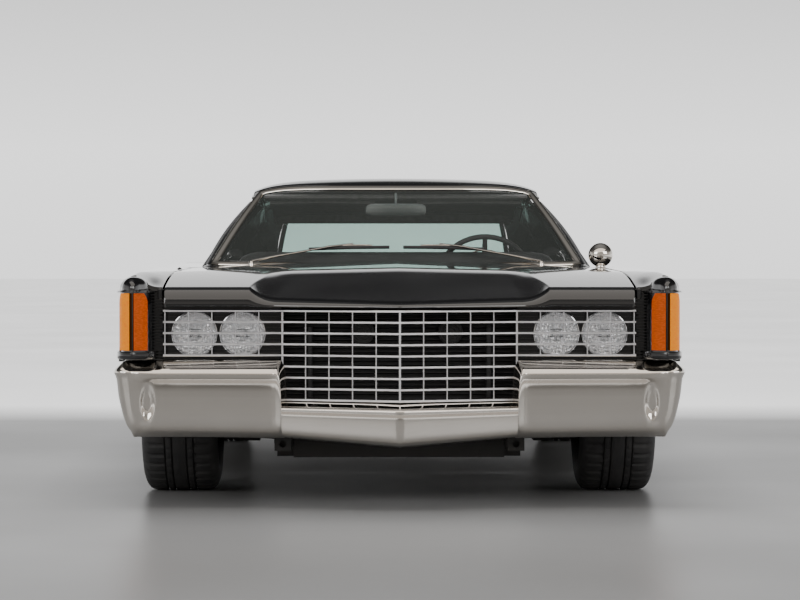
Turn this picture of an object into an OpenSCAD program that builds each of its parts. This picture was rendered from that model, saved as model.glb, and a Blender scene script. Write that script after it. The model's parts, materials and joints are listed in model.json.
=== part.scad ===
// Two-door luxury coupe, long hood and short deck, parked with its air suspension let down.
// Millimetres. +Z is up, the nose points to -Y, the driver sits on the +X side.
// Stations along the car are given as u, the distance behind the tip of the front bumper.

/* [Overall] */
// Overall length over the bumpers
car_l = 5613; // [5605:1:5625]
// Half width at the body crease
half_w = 1014.5; // [1010:0.5:1018]
// Height of the roof crown above the floor
roof_z = 1222; // [1215:1:1230]
// Height of the front fender crest at the nose
crest_z = 830; // [828:1:834]
// kick-up of the crest behind the doors
kick_up = 4; // [0:1:60]
// height of the hood's front lip
hood_lip = 719; // [714:1:730]

/* [Wheels] */
// Front axle behind the tip of the bumper
axle_f = 990; // [986:1:994]
// Wheelbase
wheelbase = 3048; // [3040:1:3056]
// Wheel centre from the middle of the car
half_track = 817; // [814:1:819]
// Tyre outer radius
tyre_r = 367; // [362:1:368]
// Tyre section width
tyre_w = 285; // [275:1:287]
// Bead seat radius of the rim
rim_r = 254; // [250:1:256]
// Steering pivot from the middle of the car
pivot_x = 745; // [742:1:748]
// Bolt circle diameter of the wheel
bolt_circle = 127; // [120:1:130]

/* [Panels] */
// Sheet panel depth
panel_t = 16; // [14:1:18]
// Gap between panels that move past each other
gap = 8; // [7:0.5:9]
// Front cut of the doors
door_u0 = 1863; // [1862:1:1866]
// Rear cut of the doors
door_u1 = 3238; // [3232:1:3240]
// Half width of the hood
hood_x = 838; // [836:1:839]
// Half width of the luggage lid
lid_x = 714; // [712:1:716]

/* [Grille] */
// Height of the top grille bar
grille_top = 696; // [692:1:700]
// Spacing of the level bars
bar_pitch = 39.6; // [39:0.1:40]
// Spacing of the upright bars
upright_pitch = 83.7; // [83:0.1:83.8]
// Headlamp radius
lamp_r = 79; // [74:1:80]

/* [Hidden] */
$fn = 64;
axle_r = axle_f + wheelbase;
belt_k = 0.68;

black = [0.02, 0.02, 0.022];
chrome = [0.8, 0.8, 0.8];
dark = [0.06, 0.06, 0.065];
glass = [0.45, 0.62, 0.56, 0.4];
trim = [0.1, 0.1, 0.1];

// ---- helpers -------------------------------------------------------------
function P(x, u, z) = [x, u - car_l / 2, z];
function S(t) = let (c = min(1, max(0, t))) c * c * (3 - 2 * c);
function mix(a, b, t) = a + (b - a) * t;
function smin(a, b, k) = let (h = max(0, k - abs(a - b)) / k) min(a, b) - h * h * k / 4;
// station placement of solids that are drawn square to the car
module at(x, u, z) { translate(P(x, u, z)) children(); }
module box(x0, x1, u0, u1, z0, z1) { at(x0, u0, z0) cube([x1 - x0, u1 - u0, z1 - z0]); }
module both() { children(); mirror([1, 0, 0]) children(); }
// profile in the (u, z) plane, extruded from x0 to x1
module side_prism(pts, x0, x1) {
  translate([x0, -car_l / 2, 0]) rotate([90, 0, 90]) linear_extrude(height = x1 - x0) polygon(pts);
}
// plan polygon in (x, u), extruded from z0 to z1
module plan_prism(pts, z0, z1) {
  translate([0, -car_l / 2, z0]) linear_extrude(height = z1 - z0) polygon(pts);
}
// closed sheet between an outer and an inner grid of points
module slab(A, B, flip = false) {
  n = len(A); m = len(A[0]); o = n * m;
  q = concat(
    [for (i = [0:n - 2]) for (j = [0:m - 2]) [i * m + j, i * m + j + 1, (i + 1) * m + j + 1, (i + 1) * m + j]],
    [for (i = [0:n - 2]) for (j = [0:m - 2]) [o + (i + 1) * m + j, o + (i + 1) * m + j + 1, o + i * m + j + 1, o + i * m + j]],
    [for (j = [0:m - 2]) [j + 1, j, o + j, o + j + 1]],
    [for (j = [0:m - 2]) [(n - 1) * m + j, (n - 1) * m + j + 1, o + (n - 1) * m + j + 1, o + (n - 1) * m + j]],
    [for (i = [0:n - 2]) [i * m, (i + 1) * m, o + (i + 1) * m, o + i * m]],
    [for (i = [0:n - 2]) [(i + 1) * m + m - 1, i * m + m - 1, o + i * m + m - 1, o + (i + 1) * m + m - 1]]);
  t = [for (f = q) for (k = [0, 1]) k == 0 ? [f[0], f[1], f[2]] : [f[0], f[2], f[3]]];
  polyhedron(points = concat([for (r = A) for (p = r) p], [for (r = B) for (p = r) p]),
    faces = flip ? t : [for (f = t) [f[2], f[1], f[0]]]);
}

// ---- body surfaces -------------------------------------------------------
// half width of the crease
function w(u) = u < 2500 ? half_w - 14.5 * pow((2500 - u) / 2500, 2)
  : u > 3000 ? half_w - 40 * pow((u - 3000) / 2613, 2) : half_w;
// height of the fender crest, with its kick-up behind the door
function crest(u) = crest_z + 0.0067 * u - 14 * pow(max(0, 1 - max(0, u - 90) / 520), 2) + kick_up * S((u - 3260) / 340) - (u > 3600 ? 48 * pow((u - 3600) / 1950, 1.6) : 0);
// height of the panel edge beside the hood, cabin and lid
function zin(u) = u < 1855 ? smin(772 + 0.125 * (u - 150), crest(u) - 4, 36) : crest(u) - 4 - 22 * S((u - 4480) / 500);
// body side: tucked under below the crease, leaning in above it
function side(u, z) = let (zs = crest(u) - 40) z < 530
  ? let (t = (530 - z) / 365) w(u) - 6 * t - 46 * t * t : w(u) - 20 * (z - 530) / (zs - 530);
// wheel openings
function arch_f(d) = d <= 170 ? 700 : d >= 435 ? 180 : 180 + 520 * sqrt(1 - pow((d - 170) / 265, 2));
function arch_r(d) = d <= 200 ? 610 : d >= 420 ? 180 : 180 + 430 * sqrt(1 - pow((d - 200) / 220, 2));
function low_f(u) = u < axle_f ? max(515, arch_f(axle_f - u)) : arch_f(u - axle_f);
function low_r(u) = u < axle_r + 420 ? arch_r(abs(u - axle_r)) : u < 5050 ? 180 + 70 * (u - axle_r - 420) / 600 : 525;
// outer and inner lines of a body section, from the lower edge over the crest to the inner edge
function levels(u, zl) = let (zs = crest(u) - 40, zm = max(530, zl + 0.45 * (zs - zl)))
  concat([for (k = [0:3]) mix(zl, zm, k / 3)], [for (k = [1:3]) mix(zm, zs, k / 3)]);
function sec(u, zl, xi, th) = let (c = crest(u), e = w(u) - 62)
  concat([for (z = levels(u, zl)) [side(u, z) - th, z]],
    [for (a = [22.5:22.5:90]) [e + (42 - th) * cos(a), c - 40 + (40 - th) * sin(a)]],
    [for (k = [1:4]) [mix(e, xi, k / 4), c - (c - zin(u)) * pow(k / 4, 1.6) - th]]);
function lift(s, u) = [for (q = s) P(q[0], u, q[1])];

// hood: flat sides and a raised centre that falls away to the nose
function hood_front(x) = let (a = abs(x)) a < 450 ? 62 + 108 * a / 450 : 170;
function hood_rise(x) = 24 * (1 - pow(x / hood_x, 2));
function hood_z(x, u) = let (a = abs(x),
    p = smin(724 + 0.19 * (u - 62), 846 + 0.02 * (u - 700), 16) - 10 * a / 450,
    s = zin(u) + hood_rise(x) * S((u - 150) / 1500),
    t = min(1, max(0, (a - 440 + 68 * S((u - 150) / 600)) / 95)), m = 1 - t * t)
  mix(s, p, m);
function hood_skin(x, d) = let (u = hood_front(x) + d, r = d < 42 ? 1 - sqrt(1 - pow(1 - d / 42, 2)) : 0,
    z0 = hood_z(x, hood_front(x) + 42)) hood_z(x, u) - max(0, z0 - hood_lip) * r;

// windshield edges
function base_u(x) = 1940 + 145 * pow(x / 765, 2);
function base_z(x) = 850 + 12 * pow(x / 765, 2);
function head_u(x) = 2450 + 90 * pow(x / 585, 2);
// roof
function top_z(u) = roof_z - (u < 3000 ? 34 * pow((3000 - u) / 550, 2) : 104 * pow((u - 3000) / 962, 2.2));
function roof_h(x, u) = let (q = abs(x) / 612) top_z(u) - 20 * q * q - 34 * pow(q, 8);
// slope of the side glass
function glass_x(z) = 806 - belt_k * (z - 850);

// ---- front end -----------------------------------------------------------
module front_fender() {
  fs = concat([205, 260, 330, 400, 470, 545], [for (d = [372, 340, 300, 260, 220, 170, 85]) axle_f - d], [axle_f],
    [for (d = [85, 170, 220, 260, 300, 340, 372, 400, 420, 431, 436]) axle_f + d], [1520, 1640, 1760, 1855]);
  slab([for (u = fs) lift(sec(u, low_f(u), hood_x + 7, 0), u)], [for (u = fs) lift(sec(u, low_f(u), hood_x + 7, panel_t), u)]);
}
module front_fenders() { color(black) both() front_fender(); }

// bumper plan path: prow in the middle, a fluted end in line with the fender blade, then back along the side
path_f = [[0, 0], [110, 30], [220, 64], [330, 98], [405, 121], [418, 124.5], [427, 127], [433, 128.5], [445, 131], [470, 134], [560, 139],
  [680, 145], [800, 150], [860, 156], [900, 166], [930, 156], [962, 136], [985, 150], [1003, 200], [1011, 280], [1014, 380], [1013, 540]];
function path_n(p, i) = let (a = p[max(0, i - 1)], b = p[min(len(p) - 1, i + 1)], d = b - a, l = norm(d)) i == 0 ? [0, 1] : [-d[1] / l, d[0] / l];
prof_z = [0, 0.07, 0.2, 0.5, 0.76, 0.86, 0.97, 1];
prof_mid = [62, 24, 6, 0, 0, 4, 44, 60];
prof_end = [104, 76, 52, 26, 9, 3, 0, 6];
function bump_top(x) = x < 418 ? 372 : mix(372, 508, S((x - 418) / 45));
function bump_low(x) = x < 430 ? 215 + 28 * x / 430 : 243 + 3 * S((x - 430) / 300);
function bump_row(i, th) = let (p = path_f[i], n = path_n(path_f, i), e = i < 13 ? 0 : S((i - 13) / 4), zt = bump_top(p[0]), zl = bump_low(p[0]))
  [for (k = [0:7]) let (d = mix(prof_mid[k], prof_end[k], e) + th, q = p + d * n) P(q[0], q[1], mix(zl, zt, prof_z[k]))];
module front_bumper() {
  m = len(path_f);
  flipx = function (r) [for (p = r) [-p[0], p[1], p[2]]];
  A = concat([for (i = [m - 1:-1:1]) flipx(bump_row(i, 0))], [for (i = [0:m - 1]) bump_row(i, 0)]);
  B = concat([for (i = [m - 1:-1:1]) flipx(bump_row(i, 9))], [for (i = [0:m - 1]) bump_row(i, 9)]);
  color(chrome) slab(A, B, true);
}

// grille: level bars bent to the prow, with uprights behind them
function grille_u(x) = abs(x) < 413 ? 56 + 144 * abs(x) / 413 : 200;
module bent_bar(x1, z, d, t) {
  a = x1 > 413 ? [[-x1, 200], [-413, 200], [0, 56], [413, 200], [x1, 200]] : [[-x1, 200], [0, 56], [x1, 200]];
  plan_prism(concat(a, [for (i = [len(a) - 1:-1:0]) a[i] + [0, d]]), z - t / 2, z + t / 2);
}
module grille() {
  color(chrome) union() {
    for (k = [0:8]) bent_bar(k < 5 ? 841 : 421, grille_top - k * bar_pitch, 6, 6.4);
    for (i = [-10:10]) let (x = i * upright_pitch, a = abs(x), low = a < 420 ? 8 : 4)
      box(x - 2.2, x + 2.2, grille_u(x) + 3, grille_u(x) + 9, grille_top - low * bar_pitch - 3, grille_top + 3);
  }
}
module headlamps() {
  color([0.85, 0.87, 0.9]) both() for (x = [562, 734]) at(x, 253, 613) rotate([90, 0, 0])
    rotate_extrude() polygon([[0, 0], [lamp_r, 0], [lamp_r, 8], [lamp_r - 6, 14], [lamp_r * 0.72, 22], [lamp_r * 0.4, 27], [0, 29]]);
}
nose_plan = [[1006, 200], [1003, 168], [988, 126], [955, 98], [946, 94], [937, 98], [914, 116], [886, 142], [872, 172], [868, 200]];
nose_core = [[992, 200], [989, 172], [976, 136], [951, 114], [946, 111], [939, 113], [922, 129], [898, 151], [887, 176], [882, 200]];
// panels behind the headlamps, and the fender ends that hold the signal lamps
module lamp_housings() {
  color(dark) both() {
    difference() {
      box(426, 858, 254, 262, 514, 720);
      for (x = [562, 734]) at(x, 240, 613) rotate([-90, 0, 0]) cylinder(r = lamp_r - 9, h = 40);
    }
    union() {
      plan_prism(nose_core, 512, 812);
      plan_prism(nose_plan, 512, 553);
      plan_prism(nose_plan, 766, 796);
    }
  }
}
module front_signal_lamps() {
  color([1, 0.42, 0.02]) both() {
    plan_prism([[1001, 168], [985, 129], [956, 102], [952, 105.5], [975, 130], [989.5, 166]], 556, 762);
    plan_prism([[937, 101], [915, 119], [889, 144], [895, 148], [921, 127], [939, 110.5]], 556, 762);
  }
}
module front_wheelhouses() {
  b = [[548, 330], [562, 520], [680, 702], [762, 750], [1218, 750], [1300, 702], [1418, 520], [1432, 330]];
  color(dark) both() union() {
    side_prism(concat(b, [for (i = [7:-1:0]) let (d = b[i] - [990, 367]) b[i] + d * 8 / norm(d)]), 462, 930);
    difference() {
      side_prism([for (q = b) q], 454, 463);
      box(440, 480, 560, 1420, 200, 560);
    }
  }
}
module hood() {
  xs = concat([for (x = [-hood_x, -790, -700, -600, -530, -495, -460, -430, -395, -330, -220, -110]) x], [0],
    [for (x = [110, 220, 330, 395, 430, 460, 495, 530, 600, 700, 790, hood_x]) x]);
  ds = [0, 3, 12, 26, 42, 90, 180, 300, 420, 520, 600, 700, 850, 1050, 1300, 1550];
  grid = function (th) [for (x = xs) let (f = hood_front(x), e = 1850 - f)
      concat([for (d = ds) P(x, f + d + (d < 42 ? th * (1 - d / 42) : 0), hood_skin(x, d) - th * (d < 42 ? d / 42 : 1))], [P(x, 1850, hood_skin(x, e) - th)])];
  color(black) difference() {
    union() {
      slab(grid(0), grid(20), true);
      both() {
        side_prism([[1886, 764], [1874, 777], [1845, 752], [1806, 764], [1790, 800], [1790, 838], [1766, 838], [1770, 780], [1790, 744], [1842, 726]], 594, 606);
        at(588, 1880, 770) rotate([0, 90, 0]) cylinder(r = 9, h = 24);
      }
    }
    both() at(580, 1880, 770) rotate([0, 90, 0]) cylinder(r = 4.06, h = 40);
  }
}
module engine() {
  color([0.15, 0.16, 0.18]) union() {
    box(-280, 280, 640, 1330, 300, 640);
    box(-210, 210, 690, 1250, 640, 715);
    box(60, 260, 1330, 1700, 280, 520);
  }
}
module radiator() {
  color(dark) difference() {
    box(-386, 386, 470, 545, 265, 700);
    box(-360, 360, 460, 482, 300, 670);
  }
}

// ---- cabin shell ---------------------------------------------------------
module cowl() {
  xs = [for (i = [-8:8]) 782 * i / 8];
  f = function (x, t, th) let (b = min(base_u(x) + 6, 2074)) P(x * mix(1.08, 1, S(t * 1.2)), mix(1858, b, t), mix(806 + hood_rise(x) * 0.4, base_z(x) - 10, t) - th);
  color(black) union() {
    slab([for (x = xs) [for (t = [0:0.25:1]) f(x, t, 0)]], [for (x = xs) [for (t = [0:0.25:1]) f(x, t, 16)]], true);
    box(-780, 780, 1905, 1925, 300, 812);
    // cheeks and pins of the hood hinges
    both() {
      box(576, 583, 1875, 1906, 764, 776);
      box(617, 624, 1875, 1906, 764, 776);
      at(576, 1880, 770) rotate([0, 90, 0]) cylinder(r = 4, h = 48);
    }
  }
}
module hinge_pillars() {
  color(black) both() union() {
    box(800, 900, 1872, 1950, 238, 775);
    for (z = [466, 584]) {
      box(890, 992, 1944, 1962, z - 26, z - 14);
      box(890, 992, 1944, 1962, z + 14, z + 26);
      at(990, 1953, z - 26) cylinder(r = 7, h = 12);
      at(990, 1953, z + 14) cylinder(r = 7, h = 12);
      at(990, 1953, z - 26) cylinder(r = 4, h = 52);
    }
  }
}
module windshield() {
  g = function (th) [for (i = [-8:8]) [for (k = [0:5]) let (t = k / 5, x = i / 8 * mix(758, 578, t), xb = i / 8 * 758, xt = i / 8 * 578,
      b = [base_u(xb) + 8, base_z(xb) - 6], h = [head_u(xt) - 4, roof_h(xt, head_u(xt)) - 14], n = [-0.55, 0.83])
      P(x, mix(b[0], h[0], t) + n[0] * (12 * sin(180 * t) - th), mix(b[1], h[1], t) + n[1] * (12 * sin(180 * t) - th))]];
  color(glass) slab(g(0), g(6), true);
}
module windshield_pillars() {
  g = function (a, b) [for (k = [0:4]) let (t = k / 4, s = 10 * sin(180 * t)) [for (c = [0:2]) let (e = mix(a, b, c / 2))
      P(mix(792, 622, t) + s + e[0], mix(2098, 2534, t) + e[1], mix(848, 1104, t) + s + e[2])]];
  both() slab(g([-26, -12, 4], [0, 34, 0]), g([-50, -4, -24], [-34, 36, -34]));
}
module roof() {
  xs = [for (x = [-612, -606, -592, -560, -480, -320, -160, 0, 160, 320, 480, 560, 592, 606, 612]) x];
  g = function (th) [for (x = xs) [for (k = [0:12]) let (u = mix(head_u(x) + 4, 3962, k / 12), e = th * (abs(x) > 600 ? 0.75 : 1)) P(x, u, roof_h(x, u) - e)]];
  color(black) {
    slab(g(0), g(32), true);
    windshield_pillars();
  }
}
// sail panel: from the quarter window back to the corner, then round to the rear window
function sail_pt(s, t) = let (
    b = s < 0.8 ? let (u = mix(3400, 4548, s / 0.8)) [mix(806, 742, pow(s / 0.8, 2)), u, crest(u) + 1 - 22 * S((u - 4480) / 500)]
      : let (q = (s - 0.8) / 0.2) [mix(742, 578, q), mix(4548, 4574, q), mix(crest(4548) - 4, 850, q)],
    h = s < 0.8 ? let (u = mix(3325, 3966, s / 0.8)) [617, u, roof_h(612, u) - 27]
      : let (q = (s - 0.8) / 0.2) [mix(617, 512, q), mix(3966, 3972, q), mix(roof_h(612, 3962) - 27, roof_h(512, 3962) - 36, q)])
  mix(b, h, t) + 14 * sin(180 * t) * [0.8, 0.3 * S((s - 0.6) / 0.3), 0.4];
module sail_panels() {
  ss = [0, 0.13, 0.27, 0.4, 0.53, 0.66, 0.75, 0.8, 0.84, 0.92, 1];
  dv = function (s, t) let (z = -14 * S(t * 3)) s < 0.72 ? [-34, 0, z] : s < 0.82 ? [-26, -24, z] : [-8, -34, z];
  g = function (k) [for (s = ss) [for (t = [0:0.2:1]) let (p = sail_pt(s, t) + k * dv(s, t)) P(p[0], p[1], p[2])]];
  color(black) both() slab(g(0), g(1));
}
function side_glass(u0, u1, u2, u3, zt) = [for (k = [0:4]) let (t = k / 4, s = 8 * sin(180 * t)) [for (i = [0:6])
    let (zb = crest(mix(u0, u1, i / 6)) - 1, z = mix(zb, zt, t)) P(glass_x(z) + s, mix(mix(u0, u2, t), mix(u1, u3, t), i / 6), z)]];
module pane(u0, u1, u2, u3, zt) {
  A = side_glass(u0, u1, u2, u3, zt);
  slab(A, [for (k = [0:4]) [for (p = A[k]) p - [6, 0, 3 * k / 4]]], true);
}
module quarter_windows() { color(glass) both() pane(3194, 3390, 3174, 3314, 1120); }
function back_pt(s, t) = let (b = [578 * s - 8 * s, 4582 - 14 * s * s, 850], h = [512 * s - 8 * s, 3978, roof_h(512 * s, 3962) - 10])
  mix(b, h, t) + 10 * sin(180 * t) * [0, 0.4, 0.9];
module rear_window() {
  g = function (k) [for (i = [-6:6]) [for (t = [0:0.25:1]) let (p = back_pt(i / 6, t) - k * [0, 2.4, 5.4]) P(p[0], p[1], p[2])]];
  color(glass) slab(g(0), g(1), true);
}

// ---- doors ---------------------------------------------------------------
// the skin runs on in front of the hinge line; behind it the door is its full depth
module door_shell() {
  us = [door_u0, 1910, 1966, 1972, 2050, 2150, 2400, 2650, 2900, 3100, door_u1];
  xi = function (u) mix(858, 790, S((u - 1863) / 270));
  inner = function (u) let (c = crest(u), zs = c - 40)
    concat([for (z = levels(u, 232)) [872, min(z, zs - 34)]], [for (k = [1:4]) [872 - k, zs - 32 + 3 * k]],
      [for (k = [1:4]) [mix(868, xi(u), k / 4), zs - 18 + 2 * k]]);
  slab([for (u = us) lift(sec(u, 232, xi(u), 0), u)],
    [for (u = us) u < 1970 ? lift(sec(u, 232, xi(u), 7), u) : lift(inner(u), min(u, door_u1 - 34))]);
}
module door() {
  difference() {
    union() {
      door_shell();
      for (z = [466, 584]) {
        box(976, 1000, 1953, 1990, z - 13, z + 13);
        at(990, 1953, z - 13) cylinder(r = 9, h = 26);
      }
    }
    for (z = [466, 584]) at(990, 1953, z - 40) cylinder(r = 4.06, h = 80);
  }
}
module left_door() { color(black) door(); }
module right_door() { color(black) mirror([1, 0, 0]) door(); }
module door_pane() { pane(2152, 3184, 2606, 3164, 1120); }
module left_door_glass() { color(glass) door_pane(); }
module right_door_glass() { color(glass) mirror([1, 0, 0]) door_pane(); }
module side_mirror() {
  color(chrome) union() {
    at(846, 2010, 843.6) cylinder(r = 20, h = 8);
    at(846, 2010, 850) cylinder(r = 8, h = 52);
    at(846, 2006, 910) rotate([-90, 0, 0]) rotate_extrude() polygon([[0, -26], [22, -23], [40, -12], [52, 2], [54, 12], [54, 16], [0, 16]]);
  }
}

// ---- rear end ------------------------------------------------------------
module quarter_panel() {
  d = [420, 412, 395, 370, 335, 295, 250, 200, 100];
  us = concat([door_u1 + gap, 3320, 3400, 3480, 3560, 3604], [for (q = d) axle_r - q], [axle_r], [for (i = [8:-1:0]) axle_r + d[i]],
    [4530, 4620, 4760, 4900, 5045, 5051, 5150, 5250, 5350, 5430, 5482]);
  xi = function (u) 790 - (790 - lid_x - gap) * S((u - 4470) / 140);
  slab([for (u = us) lift(sec(u, low_r(u), xi(u), 0), u)], [for (u = us) lift(sec(u, low_r(u), xi(u), panel_t), u)]);
}
module quarter_panels() { color(black) both() quarter_panel(); }
function lid_z(x, u) = zin(u) + 14 * (1 - pow(x / lid_x, 2));
module rear_shelf() {
  xs = [for (i = [-6:6]) lid_x * i / 6];
  g = function (k) [for (x = xs) [for (t = [0:0.5:1]) P(x, mix(4598 - 12 * pow(x / lid_x, 2), 4632, t), lid_z(x, 4632) - 12 * (1 - t) - k * 12)]];
  color(black) union() {
    slab(g(0), g(1), true);
    box(-560, 560, 4070, 4604, 800, 812);
    box(-560, 560, 4592, 4618, 804, 832);
    // cheeks and pins of the lid hinges
    both() {
      box(540, 624, 4430, 4456, 800, 812);
      box(576, 583, 4430, 4480, 786, 812);
      box(617, 624, 4430, 4480, 786, 812);
      at(576, 4474, 792) rotate([0, 90, 0]) cylinder(r = 4, h = 48);
    }
  }
}
// half width of a gooseneck arm at a point of its centre line
function goose(c, i) = 9 * path_n(c, i == 0 ? 1 : i);
module luggage_lid() {
  xs = [for (x = [-lid_x, -680, -560, -380, -190, 0, 190, 380, 560, 680, lid_x]) x];
  us = [4640, 4700, 4850, 5000, 5150, 5300, 5400];
  g = function (k) [for (x = xs) concat([for (u = us) P(x, u, lid_z(x, u) - k * 14)],
      [for (a = [30:30:90]) let (v = 30 * (1 - pow(x / lid_x, 2))) P(x, 5400 + (70 + v - k * 12) * sin(a), lid_z(x, 5400) - 8 * sin(a) - 60 * (1 - cos(a)) - k * 14 * cos(a))])];
  c = [[4474, 792], [4496, 706], [4530, 627], [4600, 598], [4672, 634], [4696, 722], [4700, 826]];
  color(black) difference() {
    union() {
      slab(g(0), g(1), true);
      both() {
        side_prism(concat([for (i = [0:6]) c[i] + goose(c, i)], [for (i = [6:-1:0]) c[i] - goose(c, i)]), 594, 606);
        at(588, 4474, 792) rotate([0, 90, 0]) cylinder(r = 9, h = 24);
      }
    }
    both() at(580, 4474, 792) rotate([0, 90, 0]) cylinder(r = 4.06, h = 40);
  }
}
module luggage_floor() {
  color(dark) union() {
    box(-612, 612, 4066, 5418, 342, 356);
    box(-612, 612, 4050, 4066, 342, 796);
  }
}
module rear_wheelhouses() {
  b = [for (a = [8:22:184]) let (q = min(a, 180)) [axle_r - 398 * cos(q), tyre_r + 398 * sin(q) * 0.985]];
  color(dark) both() union() {
    side_prism(concat(b, [for (i = [len(b) - 1:-1:0]) let (v = b[i] - [axle_r, tyre_r]) b[i] + v * 7 / norm(v)]), 648, 960);
    difference() {
      side_prism(b, 648, 655);
      box(640, 660, axle_r - 130, axle_r + 130, 300, 480);
    }
  }
}
module tail_panel() {
  color(black) difference() {
    plan_prism([[-930, 5440], [-400, 5448], [0, 5462], [400, 5448], [930, 5440], [930, 5424], [400, 5432], [0, 5446], [-400, 5432], [-930, 5424]], 512, 738);
    box(-200, 200, 5400, 5500, 500, 540);
  }
}
module tail_lamps() {
  color([0.55, 0.01, 0.02]) both() plan_prism([[900, 5486], [920, 5508], [936, 5512], [956, 5504], [966, 5486]], 535, 778);
}
path_b = [[0, 5613], [150, 5610], [300, 5603], [450, 5592], [600, 5578], [750, 5560], [860, 5543], [910, 5530], [945, 5508], [966, 5470], [976, 5400], [981, 5300], [984, 5180], [986, 5060]];
function rear_row(i, th) = let (p = path_b[i], n = -path_n(path_b, i), m = i == 0 ? [0, -1] : n, e = S((i - 6) / 3))
  [for (k = [0:7]) let (d = mix([70, 30, 8, 0, 0, 6, 40, 70][k], [70, 46, 26, 10, 2, 2, 4, 10][k], e) + th, q = p + d * m)
    P(q[0], q[1], mix(mix(232, 250, e), mix(498, 518, e), prof_z[k]))];
module rear_bumper() {
  m = len(path_b);
  flipx = function (r) [for (p = r) [-p[0], p[1], p[2]]];
  A = concat([for (i = [m - 1:-1:1]) flipx(rear_row(i, 0))], [for (i = [0:m - 1]) rear_row(i, 0)]);
  B = concat([for (i = [m - 1:-1:1]) flipx(rear_row(i, 9))], [for (i = [0:m - 1]) rear_row(i, 9)]);
  color(chrome) difference() {
    union() {
      slab(A, B);
      box(-160, 160, 5590, 5613, 288, 442);
    }
    for (x = [-88.9, 88.9]) for (z = [304, 424.65]) at(x, 5560, z) rotate([-90, 0, 0]) cylinder(r = 3.5, h = 80);
  }
}

// ---- under the car -------------------------------------------------------
module floor_pan() {
  color(dark) union() {
    box(-866, 866, 1932, 3560, 172, 188);
    both() {
      box(856, 948, 1962, 3604, 168, 226);
      box(820, 866, 1962, 3560, 172, 300);
    }
    side_prism([[3556, 172], [3620, 302], [3640, 312], [4040, 312], [4040, 328], [3632, 328], [3606, 312], [3545, 188]], -612, 612);
  }
}
module frame() {
  color(dark) {
    rails();
    box(-388, 388, 560, 640, 150, 235);
    box(-388, 388, 1500, 1580, 152, 215);
    box(-600, 600, 4760, 4830, 280, 326);
  }
}
module rails() {
  both() difference() {
    union() {
      box(390, 450, 300, 640, 190, 270);
      box(390, 450, 630, 1800, 150, 230);
      side_prism([[1790, 150], [1860, 132], [3500, 132], [3500, 168], [1930, 168], [1790, 230]], 560, 640);
      plan_prism([[390, 1700], [450, 1640], [640, 1810], [640, 1930], [560, 1900], [390, 1800]], 150, 168);
    }
    at(420, 290, 215) rotate([-90, 0, 0]) cylinder(r = 12.5, h = 40);
  }
}
module fuel_tank() { color(dark) plan_prism([[-480, 4850], [480, 4850], [520, 4890], [520, 5290], [480, 5330], [-480, 5330], [-520, 5290], [-520, 4890]], 205, 322); }
module exhaust() {
  color([0.3, 0.29, 0.28]) both() union() {
    at(250, 1614, 145) cylinder(r = 24, h = 131);
    at(250, 1614, 145) rotate([-90, 0, 0]) cylinder(r = 24, h = 1600);
    plan_prism([[176, 3200], [196, 3180], [304, 3180], [324, 3200], [324, 3500], [304, 3520], [196, 3520], [176, 3500]], 122, 167);
    at(250, 3500, 145) rotate([-90, 0, 0]) cylinder(r = 22, h = 170);
    at(250, 3650, 145) cylinder(r = 22, h = 70);
    at(250, 3632, 212) rotate([-90, 0, 0]) cylinder(r = 20, h = 330);
  }
}
module front_control_arms() {
  lug = function (z) z;
  color(dark) both() {
    for (z = [205, 505]) difference() {
      union() {
        plan_prism([[458, axle_f - 150], [498, axle_f - 150], [pivot_x - 4, axle_f - 26], [pivot_x - 4, axle_f + 26], [498, axle_f + 150], [458, axle_f + 150], [458, axle_f + 110], [pivot_x - 90, axle_f], [458, axle_f - 110]], z, z + 18);
        at(pivot_x, axle_f, z) cylinder(r = 27, h = 18);
      }
      at(pivot_x, axle_f, z - 10) cylinder(r = 12.06, h = 60);
    }
  }
}
module knuckle() {
  union() {
    at(pivot_x, axle_f, 226) cylinder(r = 24, h = 276);
    at(pivot_x, axle_f, 200) cylinder(r = 12, h = 328);
    at(pivot_x + 5, axle_f, tyre_r) rotate([0, 90, 0]) cylinder(r = 20, h = 116);
    at(pivot_x - 22, axle_f, tyre_r) rotate([0, 90, 0]) cylinder(r = 46, h = 52);
    box(pivot_x - 96, pivot_x, axle_f + 60, axle_f + 84, 290, 312);
    box(pivot_x - 20, pivot_x + 12, axle_f + 10, axle_f + 80, 290, 312);
    // caliper over the rear edge of the disc
    side_prism([[axle_f + 96, 410], [axle_f + 132, 470], [axle_f + 182, 440], [axle_f + 184, 360], [axle_f + 140, 340], [axle_f + 110, 350]], pivot_x - 12, pivot_x + 16);
    box(pivot_x - 12, pivot_x + 12, axle_f + 20, axle_f + 130, 366, 402);
  }
}
module left_knuckle() { color([0.3, 0.3, 0.32]) knuckle(); }
module right_knuckle() { color([0.3, 0.3, 0.32]) mirror([1, 0, 0]) knuckle(); }
module rear_axle() {
  color(dark) union() {
    at(-640, axle_r, 268) rotate([0, 90, 0]) cylinder(r = 34, h = 1280);
    both() {
      side_prism([[axle_r - 44, 232], [axle_r + 44, 232], [axle_r + 44, 410], [axle_r - 44, 410]], 622, 645);
      at(640, axle_r, tyre_r) rotate([0, 90, 0]) cylinder(r = 38, h = 110);
      at(640, axle_r, tyre_r) rotate([0, 90, 0]) cylinder(r = 20, h = 226);
    }
  }
}
module leaf_springs() {
  a = [[3620, 176], [3740, 196], [3880, 210], [4000, 216], [4076, 216], [4220, 216], [4400, 228], [4620, 272]];
  color(dark) both() side_prism(concat(a, [for (i = [7:-1:0]) a[i] + [0, 14]]), 540, 600);
}

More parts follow.
